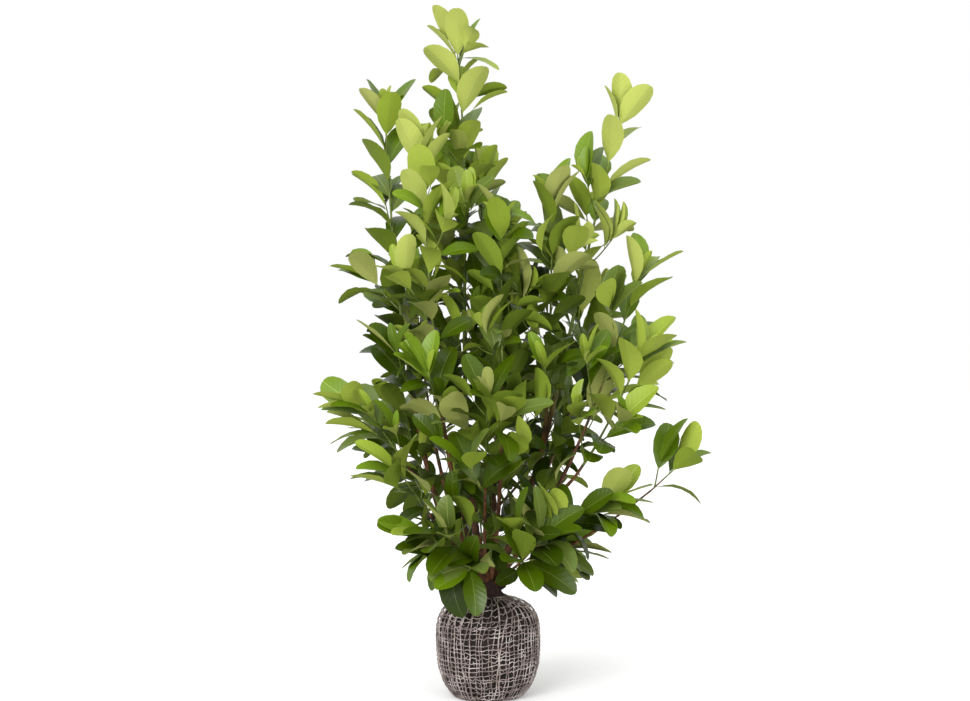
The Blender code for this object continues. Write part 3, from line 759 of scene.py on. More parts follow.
    def grow_leaves(self, index: int) -> None:
        """Grows the leaves along a mass's stem and twigs.

        Args:
            index: The mass's number.
        """
        shoot = SHOOTS[index]
        grown = []
        for number, limb in enumerate([self.stems[shoot.name], *self.twigs[shoot.name]]):
            shade = self.shade_of(shoot.name, number)
            for order, (share, age) in enumerate(self.leaf_places(limb, number > 0)):
                for attempt in range(LEAVES.tries):
                    luck = random.Random(((shoot.seed * 31 + number) * 101 + order) * 17 + attempt)
                    turn = LEAVES.turn * order + swing(attempt, LEAVES.swing)
                    leaf = self.grown_leaf(limb, share, age, turn, luck)
                    if self.in_space(index, leaf.corners(), SPACES.margin) and self.has_room(leaf, shoot.name):
                        leaf.shade = shade
                        grown.append(leaf)
                        break
        self.leaves[shoot.name] = grown

    def leaf_places(self, limb: Limb, is_twig: bool) -> list[tuple[float, float]]:
        """Gives where the leaves of a limb stand: wide apart, then crowded at the tip.

        Args:
            limb: The stem or twig.
            is_twig: Whether it is a twig.

        Returns:
            The share of the line and the age of each, from 1 at the oldest to 0 at the tip.
        """
        length = (limb.end - limb.start) * limb.line.length
        crowd = LEAVES.tip_spacing * (LEAVES.tip_leaves - 1)
        places = []
        travel = LEAVES.twig_first if is_twig else LEAVES.stem_first
        while travel < length - crowd - 0.5 * LEAVES.spacing:
            places.append(travel)
            travel += LEAVES.spacing * (LEAVES.twig_spacing if is_twig else 1.0)
        tip = length - crowd - LEAVES.tip_back
        places += [tip + LEAVES.tip_spacing * i for i in range(LEAVES.tip_leaves)]
        return [(limb.start + p / limb.line.length, 1.0 - p / length) for p in places if p > 0.0]

    def grown_leaf(self, limb: Limb, share: float, age: float, turn: float, luck: random.Random) -> Leaf:
        """Gives the leaf that the rule sets at one place.

        Args:
            limb: The limb that it is on.
            share: Where on the limb's line it is.
            age: Its age, from 1 at the oldest to 0 at the tip.
            turn: How far round the limb it stands, in degrees.
            luck: The random source of this try.

        Returns:
            The leaf.
        """
        heading = limb.line.heading(share)
        side = square_to(heading, Vector((1.0, 0.0, 0.0)))
        out = around(heading, side, turn + luck.uniform(-LEAVES.turn_luck, LEAVES.turn_luck))
        level = 1.0 - abs(heading.z)
        out = (out + Vector((0.0, 0.0, -LEAVES.level * level * out.z))).normalized()
        opening = blend(LEAVES.opening_tip, LEAVES.opening_low, min(1.0, age * LEAVES.opening_rate))
        tilt = math.radians(opening + luck.uniform(-LEAVES.opening_luck, LEAVES.opening_luck))
        along = heading * math.cos(tilt) + out * math.sin(tilt)
        along.z -= LEAVES.droop * age
        along.normalize()
        up = square_to(along, heading + Vector((0.0, 0.0, LEAVES.light + level)))
        up = around(along, up, luck.uniform(-LEAVES.roll_luck, LEAVES.roll_luck))
        from_tip = age * (limb.end - limb.start) * limb.line.length
        youth = max(0.0, 1.0 - from_tip / LEAVES.young_reach)
        length = LEAVES.length * blend(1.0, LEAVES.young_length, youth) * luck.uniform(*LEAVES.length_luck)
        half_width = 0.5 * LEAVES.width * length * luck.uniform(*LEAVES.width_luck)
        curl = LEAVES.curl * luck.uniform(*LEAVES.curl_luck)
        return Leaf(limb.line.at(share), along, up, length, half_width, curl, age)

    def shade_of(self, name: str, number: int) -> float:
        """Gives how much lighter or darker than its place a whole spray of leaves is."""
        return TONES.get(name, 0.0) + random.Random(f"{name} {number} shade").gauss(0.0, 0.10)

    def grow_buds(self, index: int) -> None:
        """Grows the young leaves at the tips of a mass's stem and twigs.

        Args:
            index: The mass's number.
        """
        name = SHOOTS[index].name
        for number, limb in enumerate([self.stems[name], *self.twigs[name]]):
            if limb.line.at(1.0).z < BUDS.lowest:
                continue
            heading = limb.line.heading(1.0)
            side = square_to(heading, Vector((1.0, 0.0, 0.0)))
            for order in range(BUDS.leaves):
                for attempt in range(BUDS.tries):
                    luck = random.Random(f"{name} {number} {order} {attempt} bud")
                    out = around(heading, side, BUDS.turn * order + 360.0 * luck.random())
                    opening = math.radians(luck.uniform(*BUDS.opening))
                    along = heading * math.cos(opening) + out * math.sin(opening)
                    up = square_to(along, heading)
                    length = luck.uniform(*BUDS.length)
                    half = 0.5 * length * luck.uniform(*BUDS.width)
                    root = limb.line.at(1.0) - heading * 0.001
                    leaf = Leaf(root, along, up, length, half, luck.uniform(*BUDS.curl), 0.0, BUDS.fold)
                    if self.in_reach(index, leaf.corners()) and self.has_room(leaf, name):
                        leaf.shade = 0.12 + self.shade_of(name, number)
                        self.extra[name].append(leaf)
                        break

    def grow_spurs(self, index: int) -> None:
        """Grows finer spurs with small leaves on a mass's limbs and on the upper part of its bough.

        Args:
            index: The mass's number.
        """
        name = SHOOTS[index].name
        bough = self.boughs[name]
        limbs = [(limb, SPURS.spacing, 0.0) for limb in (self.stems[name], *self.twigs[name])]
        limbs.append((bough, SPURS.bough_spacing, SPURS.bough_first))
        for number, (limb, spacing, first) in enumerate(limbs):
            length = (limb.end - limb.start) * limb.line.length
            for order in range(int(length * (1.0 - first) / spacing)):
                place = first * length + (order + 0.6) * spacing
                share = limb.start + place / limb.line.length
                for attempt in range(SPURS.tries):
                    luck = random.Random(f"{name} {number} {order} {attempt}")
                    turn = SPURS.turn * order + 360.0 * luck.random()
                    if self.try_spur(index, limb, share, turn, luck):
                        break

    def try_spur(self, index: int, limb: Limb, share: float, turn: float, luck: random.Random) -> bool:
        """Grows one spur if it and at least one of its leaves have room.

        Args:
            index: The number of the mass.
            limb: The limb that it is on.
            share: Where on the limb's line it is.
            turn: How far round the limb it stands, in degrees.
            luck: The random source of this try.

        Returns:
            True if it grew.
        """
        name = SHOOTS[index].name
        heading = limb.line.heading(share)
        out = around(heading, square_to(heading, Vector((0.0, -1.0, 0.2))), turn)
        opening = math.radians(SPURS.opening + luck.uniform(-SPURS.opening_luck, SPURS.opening_luck))
        first = heading * math.cos(opening) + out * math.sin(opening)
        last = (first + Vector((0.0, 0.0, SPURS.lift))).normalized()
        length = luck.uniform(*SPURS.length)
        lever = SPURS.lever * length
        foot = limb.line.at(share)
        end = foot + length * 0.5 * (first + last)
        line = curve(foot, foot + lever * first, end - lever * last, end, length, TWIGS.runs)
        spur = Limb(line, 0.0, 1.0, SPURS.radius, SPURS.tip_radius)
        on_bough = limb is self.boughs[name]
        shaded = math.hypot(end.x, end.y) < SPURS.inner
        if not shaded or not (on_bough or self.in_reach(index, [end])) or not self.clear_twig(spur):
            return False
        leaves = []
        shade = self.shade_of(name, len(self.extra[name]))
        for order in range(SPURS.leaves):
            at = 1.0 - (order * SPURS.leaf_spacing + SPURS.leaf_tip) / line.length
            if at < SPURS.leaf_first:
                break
            age = order / SPURS.leaves
            leaf = self.grown_leaf(spur, at, age, LEAVES.turn * order + 360.0 * luck.random(), luck)
            size = luck.uniform(*SPURS.leaf_size)
            leaf.length *= size
            leaf.half_width *= size
            leaf.age = blend(*SPURS.age, age)
            leaf.shade = shade
            inside = self.in_box(leaf.corners()) if on_bough else self.in_reach(index, leaf.corners())
            if inside and self.has_room(leaf, name):
                leaves.append(leaf)
        if leaves:
            self.wood.add_shell(*spur.shell(TWIGS.sides), name)
            self.spurs[name].append(spur)
            self.extra[name] += leaves
        return bool(leaves)


# Mesh makers


def deselect() -> None:
    """Leaves object mode with nothing selected."""
    if bpy.context.mode != "OBJECT":
        bpy.ops.object.mode_set(mode="OBJECT")
    bpy.ops.object.select_all(action="DESELECT")


def activate(obj: bpy.types.Object) -> None:
    """Selects one object alone and makes it the active one."""
    deselect()
    obj.select_set(True)
    bpy.context.view_layer.objects.active = obj


def apply_modifier(obj: bpy.types.Object, kind: str, **settings: Any) -> None:
    """Adds a modifier with its settings and applies it.

    Args:
        obj: The object.
        kind: The kind of modifier.
        settings: Its settings, by name.
    """
    activate(obj)
    modifier = obj.modifiers.new(kind.lower(), kind)
    for key, value in settings.items():
        setattr(modifier, key, value)
    bpy.ops.object.modifier_apply(modifier=modifier.name)


def clouds(name: str, size: float, depth: int = 2) -> bpy.types.Texture:
    """Makes a soft noise for a relief.

    Args:
        name: Its name.
        size: The size of its lumps.
        depth: How many finer layers it has.

    Returns:
        The texture.
    """
    texture = bpy.data.textures.new(name, "CLOUDS")
    texture.noise_scale = size
    texture.noise_depth = depth
    return texture


@dataclass
class Thread:
    """The middle line and radii of one tube."""

    points: list[Vector]
    radii: list[float]


def tubes(name: str, threads: list[Thread], resolution: int, closed: bool = False) -> bpy.types.Object:
    """Draws round tubes along lines and joins them into one mesh.

    Args:
        name: The piece's name.
        threads: The lines, with their radii.
        resolution: How round they are: 0 gives four sides, and each step two more.
        closed: Whether each line closes on itself.

    Returns:
        The mesh object.
    """
    deselect()
    path = bpy.data.curves.new(name, "CURVE")
    path.dimensions = "3D"
    path.bevel_depth = 1.0
    path.bevel_resolution = resolution
    path.use_fill_caps = not closed
    for thread in threads:
        spline = path.splines.new("POLY")
        spline.points.add(len(thread.points) - 1)
        spline.use_cyclic_u = closed
        spline.points.foreach_set("co", [c for p in thread.points for c in (*p, 1.0)])
        spline.points.foreach_set("radius", thread.radii)
    obj = bpy.data.objects.new(name, path)
    bpy.context.scene.collection.objects.link(obj)
    activate(obj)
    bpy.ops.object.convert(target="MESH")
    obj = bpy.context.view_layer.objects.active
    obj.name = name
    bpy.ops.object.mode_set(mode="EDIT")
    bpy.ops.mesh.select_all(action="SELECT")
    bpy.ops.mesh.remove_doubles(threshold=1e-6)
    bpy.ops.mesh.normals_make_consistent(inside=False)
    bpy.ops.object.mode_set(mode="OBJECT")
    bpy.ops.object.shade_smooth()
    return obj


def smoothed(line: Line, start: float, end: float, step: float) -> list[tuple[float, Vector]]:
    """Samples a line with its bends rounded off.

    Args:
        line: The line.
        start: The share to start at.
        end: The share to end at.
        step: The distance between samples.

    Returns:
        The share and the place of each sample.
    """
    count = max(2, round((end - start) * line.length / step))
    shares = [blend(start, end, i / count) for i in range(count + 1)]
    ease = 0.014 / line.length
    made = []
    for share in shares:
        reach = min(ease, share, 1.0 - share) if share in (shares[0], shares[-1]) else ease
        near = [line.at(share + reach * k / 2) for k in (-2, -1, 0, 1, 2)]
        made.append((share, sum(near, Vector()) / len(near)))
    return made


# Materials


@dataclass
class Tree:
    """A material's node tree, with the one function that adds to it."""

    material: bpy.types.Material

    @classmethod
    def new(cls, name: str) -> "Tree":
        """Makes an empty material with a Principled surface.

        Args:
            name: The material's name.

        Returns:
            Its tree.
        """
        material = bpy.data.materials.new(name)
        material.use_nodes = True
        return cls(material)

    @property
    def surface(self) -> bpy.types.ShaderNode:
        """The Principled surface."""
        return self.material.node_tree.nodes["Principled BSDF"]

    def add(self, kind: str, settings: dict[str, Any] | None = None, **inputs: Any) -> bpy.types.Node:
        """Adds a node with its settings, its values and its links.

        Args:
            kind: The node's type.
            settings: Its own properties.
            inputs: Its sockets by name, with _ for a space: a value, or the socket to link from.

        Returns:
            The node.
        """
        node = self.material.node_tree.nodes.new(kind)
        for key, value in (settings or {}).items():
            setattr(node, key, value)
        for key, value in inputs.items():
            name = key.replace("_", " ")
            socket = node.inputs[int(key[1:])] if key[0] == "i" and key[1:].isdigit() else node.inputs[name]
            if isinstance(value, bpy.types.NodeSocket):
                self.material.node_tree.links.new(value, socket)
            else:
                socket.default_value = value
        return node

    def link(self, source: bpy.types.NodeSocket, socket: str) -> None:
        """Links a socket to one of the surface's."""
        self.material.node_tree.links.new(source, self.surface.inputs[socket])

    def ramp(self, source: bpy.types.NodeSocket, stops: list[tuple[float, str]]) -> bpy.types.NodeSocket:
        """Adds a colour ramp.

        Args:
            source: What it reads.
            stops: The place and the sRGB colour of each stop.

        Returns:
            Its colour.
        """
        node = self.add("ShaderNodeValToRGB", None, Fac=source)
        elements = node.color_ramp.elements
        while len(elements) < len(stops):
            elements.new(0.5)
        for element, (place, code) in zip(elements, stops):
            element.position = place
            element.color = srgb(code)
        return node.outputs["Color"]


class Tint(Enum):
    """The ages and shades of leaf that the sprays are dealt; the dark ones also carry painted shade in the crown's
    middle.
    """

    YOUNG = "young"
    FRESH = "fresh"
    LIVELY = "lively"
    OLIVE = "olive"
    FULL = "full"
    DEEP = "deep"


@dataclass(frozen=True)
class LeafFinish:
    """Living cherry laurel leaf: a leathery blade with a waxy upper side and a matt pale underside."""

    tint: Tint
    upper: str
    under: str
    rib: str
    gloss: float

    def materials(self) -> list[bpy.types.Material]:
        """Makes the upper side, the underside and the midrib.

        Returns:
            The three materials, in the order of the leaf's material numbers.
        """
        return [
            self.blade(f"waxed_leaf_upper_{self.tint.value}", self.upper, self.gloss, 0.00014, 0.36),
            self.blade(f"matt_leaf_underside_{self.tint.value}", self.under, 0.62, -0.00012, 0.16),
            self.rib_material(),
        ]

    def blade(self, name: str, colour: str, roughness: float, relief: float, shine: float) -> bpy.types.Material:
        """Makes one side of the blade: side veins press a shallow relief into the cuticle.

        Args:
            name: The material's name.
            colour: Its sRGB colour.
            roughness: Its roughness.
            relief: The height of the relief, in metres.
            shine: Its specular level.

        Returns:
            The material.
        """
        tree = Tree.new(name)
        tree.surface.inputs["Base Color"].default_value = srgb(colour)
        tree.surface.inputs["Roughness"].default_value = roughness
        tree.surface.inputs["IOR"].default_value = 1.45
        tree.surface.inputs["Specular IOR Level"].default_value = shine
        place = tree.add("ShaderNodeTexCoord").outputs["UV"]
        split = tree.add("ShaderNodeSeparateXYZ", None, Vector=place)
        side = tree.add("ShaderNodeMath", {"operation": "ABSOLUTE"}, i0=split.outputs["Y"])
        lean = tree.add("ShaderNodeMath", {"operation": "MULTIPLY"}, i0=side.outputs[0], i1=-0.21)
        along = tree.add("ShaderNodeMath", {"operation": "ADD"}, i0=split.outputs["X"], i1=lean.outputs[0])
        # Nine pairs of side veins on a 14 cm leaf, so one every 15 mm
        turns = tree.add("ShaderNodeMath", {"operation": "MULTIPLY"}, i0=along.outputs[0], i1=56.0)
        wave = tree.add("ShaderNodeMath", {"operation": "COSINE"}, i0=turns.outputs[0])
        sharp = tree.add("ShaderNodeMath", {"operation": "POWER"}, i0=wave.outputs[0], i1=3.0)
        spot = tree.add("ShaderNodeTexCoord").outputs["Object"]
        # The leaf's fine puckering, 4 mm across
        pucker = tree.add("ShaderNodeTexNoise", None, Vector=spot, Scale=240.0, Detail=2.0)
        both = tree.add("ShaderNodeMath", {"operation": "MULTIPLY_ADD"}, i0=pucker.outputs[0], i1=0.8, i2=sharp.outputs[0])
        bump = tree.add("ShaderNodeBump", None, Height=both.outputs[0], Distance=relief, Strength=1.0)
        tree.link(bump.outputs["Normal"], "Normal")
        return tree.material

    def rib_material(self) -> bpy.types.Material:
        """Makes the midrib and stalk: firm pale tissue with a slight gloss."""
        tree = Tree.new(f"firm_leaf_rib_{self.tint.value}")
        tree.surface.inputs["Base Color"].default_value = srgb(self.rib)
        tree.surface.inputs["Roughness"].default_value = 0.45
        tree.surface.inputs["IOR"].default_value = 1.45
        return tree.material


LEAF_FINISHES = (
    LeafFinish(Tint.YOUNG, "#8CA034", "#B3BE5E", "#B4C16C", 0.40),
    LeafFinish(Tint.FRESH, "#6A861C", "#A2B346", "#9CAC50", 0.38),
    LeafFinish(Tint.LIVELY, "#536D06", "#8EA234", "#80933A", 0.36),
    LeafFinish(Tint.OLIVE, "#5B6D2A", "#A9B060", "#98A25C", 0.38),
    LeafFinish(Tint.FULL, "#3D5200", "#788C2C", "#697B30", 0.34),
    LeafFinish(Tint.DEEP, "#2B3D00", "#586B1C", "#56692A", 0.32),
)


@dataclass(frozen=True)
class BarkFinish:
    """Living laurel bark: thin and smooth, with a waxy bloom and corky breathing pores."""

    name: str
    dark: str
    middle: str
    light: str
    roughness: float
    pore: float
    green_from: float = math.inf
    green_to: float = math.inf

    def material(self) -> bpy.types.Material:
        """Makes the bark: blotches 20 mm long, and pores 3 mm wide drawn a little coarse so that they show."""
        tree = Tree.new(self.name)
        tree.surface.inputs["Roughness"].default_value = self.roughness
        tree.surface.inputs["IOR"].default_value = 1.5
        spot = tree.add("ShaderNodeTexCoord").outputs["Object"]
        stretched = tree.add("ShaderNodeMapping", None, Vector=spot)
        stretched.inputs["Scale"].default_value = (1.0, 1.0, 0.35)
        blotch = tree.add("ShaderNodeTexNoise", None, Vector=stretched.outputs[0], Scale=60.0, Detail=5.0, Roughness=0.62)
        flat = tree.add("ShaderNodeMapping", None, Vector=spot)
        flat.inputs["Scale"].default_value = (1.0, 1.0, 2.4)
        pores = tree.add("ShaderNodeTexVoronoi", None, Vector=flat.outputs[0], Scale=150.0)
        colour = tree.ramp(blotch.outputs[0], [(0.34, self.dark), (0.52, self.middle), (0.70, self.light)])
        if self.green_to < math.inf:
            green = tree.ramp(blotch.outputs[0], [(0.34, "#47561A"), (0.52, "#66772A"), (0.70, "#87923F")])
            height = tree.add("ShaderNodeSeparateXYZ", None, Vector=spot).outputs["Z"]
            change = tree.add("ShaderNodeMapRange", None, Value=height, From_Min=self.green_from, From_Max=self.green_to)
            mix = tree.add("ShaderNodeMix", {"data_type": "RGBA"}, i0=change.outputs[0], i6=colour, i7=green)
            colour = mix.outputs[2]
        tree.link(colour, "Base Color")
        dots = tree.add("ShaderNodeMath", {"operation": "LESS_THAN"}, i0=pores.outputs["Distance"], i1=0.28)
        height = tree.add("ShaderNodeMath", {"operation": "MULTIPLY_ADD"}, i0=dots.outputs[0], i1=self.pore, i2=blotch.outputs[0])
        bump = tree.add("ShaderNodeBump", None, Height=height.outputs[0], Distance=0.0008, Strength=0.9)
        tree.link(bump.outputs["Normal"], "Normal")
        return tree.material


STOOL_BARK = BarkFinish("rough_laurel_bark_stool", "#180C09", "#341A13", "#573125", 0.74, 0.5)
BOUGH_BARK = BarkFinish("smooth_laurel_bark_greening", "#381E0C", "#6A3F1E", "#926236", 0.58, 0.5, 0.66, 0.92)
YOUNG_BARK = BarkFinish("smooth_laurel_bark_young", "#47561A", "#66772A", "#87923F", 0.48, 0.25)


@dataclass(frozen=True)
class SoilFinish:
    """Moist nursery soil with fibrous roots, crumbled and nearly black where it is wet."""

    wet: str = "#0C0807"
    damp: str = "#211713"
    dry: str = "#5A4A43"

    def material(self) -> bpy.types.Material:
        """Makes the soil: crumbs 4 mm across over clods of 25 mm."""
        tree = Tree.new("crumbled_moist_soil")
        tree.surface.inputs["Roughness"].default_value = 0.93
        spot = tree.add("ShaderNodeTexCoord").outputs["Object"]
        clods = tree.add("ShaderNodeTexNoise", None, Vector=spot, Scale=40.0, Detail=6.0, Roughness=0.7)
        crumbs = tree.add("ShaderNodeTexVoronoi", None, Vector=spot, Scale=250.0)
        mixed = tree.add("ShaderNodeMath", {"operation": "MULTIPLY_ADD"}, i0=crumbs.outputs["Distance"], i1=0.25, i2=clods.outputs[0])
        tree.link(tree.ramp(mixed.outputs[0], [(0.46, self.wet), (0.66, self.damp), (0.90, self.dry)]), "Base Color")
        bump = tree.add("ShaderNodeBump", None, Height=mixed.outputs[0], Distance=0.004, Strength=1.0)
        tree.link(bump.outputs["Normal"], "Normal")
        return tree.material


@dataclass(frozen=True)
class NetFinish:
    """Knitted ball netting of undyed thread, dusty with soil."""

    clean: str = "#C9BDB8"
    dusty: str = "#9A8B86"
    muddy: str = "#5F524D"

    def material(self) -> bpy.types.Material:
        """Makes the thread: a twist every 3 mm, and dust in patches of 30 mm."""
        tree = Tree.new("knitted_ball_net_thread")
        tree.surface.inputs["Roughness"].default_value = 0.86
        spot = tree.add("ShaderNodeTexCoord").outputs["Object"]
        dust = tree.add("ShaderNodeTexNoise", None, Vector=spot, Scale=34.0, Detail=4.0, Roughness=0.65)
        tree.link(tree.ramp(dust.outputs[0], [(0.30, self.muddy), (0.48, self.dusty), (0.62, self.clean)]), "Base Color")
        twist = tree.add("ShaderNodeTexNoise", None, Vector=spot, Scale=330.0, Detail=1.0)
        bump = tree.add("ShaderNodeBump", None, Height=twist.outputs[0], Distance=0.0006, Strength=0.8)
        tree.link(bump.outputs["Normal"], "Normal")
        return tree.material


# Pieces of the plant


@dataclass
class LeafPattern:
    """The one leaf that every leaf of the plant is copied from, one long and one to either side wide."""

    rows: tuple[float, ...] = (0.0, 0.06, 0.16, 0.33, 0.53, 0.72, 0.87, 0.96, 1.0)
    widths: tuple[float, ...] = (0.045, 0.050, 0.38, 0.79, 1.01, 0.97, 0.76, 0.47, 0.16)
    columns: tuple[float, ...] = (-1.0, -0.52, -0.021, 0.021, 0.52, 1.0)
    stalk: float = 0.0055
    blade: float = 0.0022
    rib: float = 0.0050

    def build(self) -> None:
        """Models the leaf and reads its shape into arrays."""
        deselect()
        across, along = len(self.columns) - 1, len(self.rows) - 1
        bpy.ops.mesh.primitive_grid_add(x_subdivisions=along, y_subdivisions=across, size=2.0)
        obj = bpy.context.view_layer.objects.active
        obj.name = "leaf_pattern"
        self.set_out(obj)
        self.give_thickness(obj)
        self.read(obj)
        bpy.data.objects.remove(obj)

    def pick(self, obj: bpy.types.Object, test: Callable[[Vector], bool]) -> None:
        """Selects the vertices that pass a test and goes to edit mode.

        Args:
            obj: The mesh object.
            test: Tells from its place whether a vertex is selected.
        """
        bpy.ops.object.mode_set(mode="EDIT")
        bpy.ops.mesh.select_mode(type="VERT")
        bpy.ops.mesh.select_all(action="DESELECT")
        bpy.ops.object.mode_set(mode="OBJECT")
        for vertex in obj.data.vertices:
            vertex.select = test(vertex.co)
        bpy.ops.object.mode_set(mode="EDIT")

    def set_out(self, obj: bpy.types.Object) -> None:
        """Moves the grid's lines to the leaf's rows and columns and draws in its outline."""
        across, along = len(self.columns) - 1, len(self.rows) - 1
        for i, wanted in enumerate(self.columns):
            old = -1.0 + 2.0 * i / across
            self.pick(obj, lambda p, old=old: abs(p.y - old) < 1e-4 and p.z < 5.0)
            bpy.ops.transform.translate(value=(0.0, wanted - old, 10.0))
        for i in range(along + 1):
            old = -1.0 + 2.0 * i / along
            self.pick(obj, lambda p, old=old: abs(p.x - old) < 1e-4 and p.z > 5.0)
            bpy.ops.transform.resize(value=(1.0, self.widths[i], 1.0), center_override=(old, 0.0, 10.0))
            bpy.ops.transform.translate(value=(self.rows[i] - old, 0.0, -10.0))
        bpy.ops.object.mode_set(mode="OBJECT")

    def give_thickness(self, obj: bpy.types.Object) -> None:
        """Doubles the sheet into an upper side and an underside that meet at the rim."""
        bpy.ops.object.mode_set(mode="EDIT")
        bpy.ops.mesh.select_all(action="SELECT")
        bpy.ops.mesh.duplicate()
        bpy.ops.mesh.flip_normals()
        bpy.ops.transform.translate(value=(0.0, 0.0, -self.blade))
        bpy.ops.object.mode_set(mode="OBJECT")
        half = len(obj.data.vertices) // 2
        inner = max(abs(c) for c in self.columns[1:-1])
        for vertex in obj.data.vertices:
            row = min(range(len(self.rows)), key=lambda i: abs(self.rows[i] - vertex.co.x))
            share = abs(vertex.co.y) / self.widths[row]
            at_rim = share > 0.5 * (1.0 + inner) or row in (0, len(self.rows) - 1)
            is_stalk = row < 2
            rib = abs(share) < 0.1
            sign = -1.0 if vertex.index >= half else 1.0
            depth = self.stalk if is_stalk else self.rib * (1.0 - vertex.co.x) + self.blade if rib and sign < 0 else self.blade
            vertex.co.z = 0.0 if at_rim and not is_stalk else sign * depth
            if is_stalk and share > 0.9:
                vertex.co.z = 0.0
        activate(obj)
        bpy.ops.object.mode_set(mode="EDIT")
        bpy.ops.mesh.select_all(action="SELECT")
        bpy.ops.mesh.remove_doubles(threshold=1e-5)
        bpy.ops.object.mode_set(mode="OBJECT")

    def read(self, obj: bpy.types.Object) -> None:
        """Reads corners, faces, sides and rim edges from the modelled leaf."""
        mesh = obj.data
        self.points = np.array([tuple(v.co) for v in mesh.vertices])
        self.loops = np.array([i for p in mesh.polygons for i in p.vertices])
        self.totals = np.array([len(p.vertices) for p in mesh.polygons])
        slots = []
        for polygon in mesh.polygons:
            centre = sum((mesh.vertices[i].co for i in polygon.vertices), Vector()) / len(polygon.vertices)
            row = max(i for i in range(len(self.rows)) if self.rows[i] <= centre.x + 1e-6)
            narrow = abs(centre.y) < 0.035 * self.widths[row] or centre.x < self.rows[1]
            slots.append(2 if narrow else 0 if polygon.normal.z > 0 else 1)
        self.slots = np.array(slots)
        count = len(self.points)
        self.rim = np.zeros((count, count), dtype=bool)
        sides: dict[tuple[int, int], set[bool]] = {}
        for polygon in mesh.polygons:
            ring = list(polygon.vertices)
            for a, b in zip(ring, ring[1:] + ring[:1]):
                sides.setdefault((min(a, b), max(a, b)), set()).add(polygon.normal.z > 0)
        for (a, b), seen in sides.items():
            self.rim[a, b] = self.rim[b, a] = len(seen) == 2


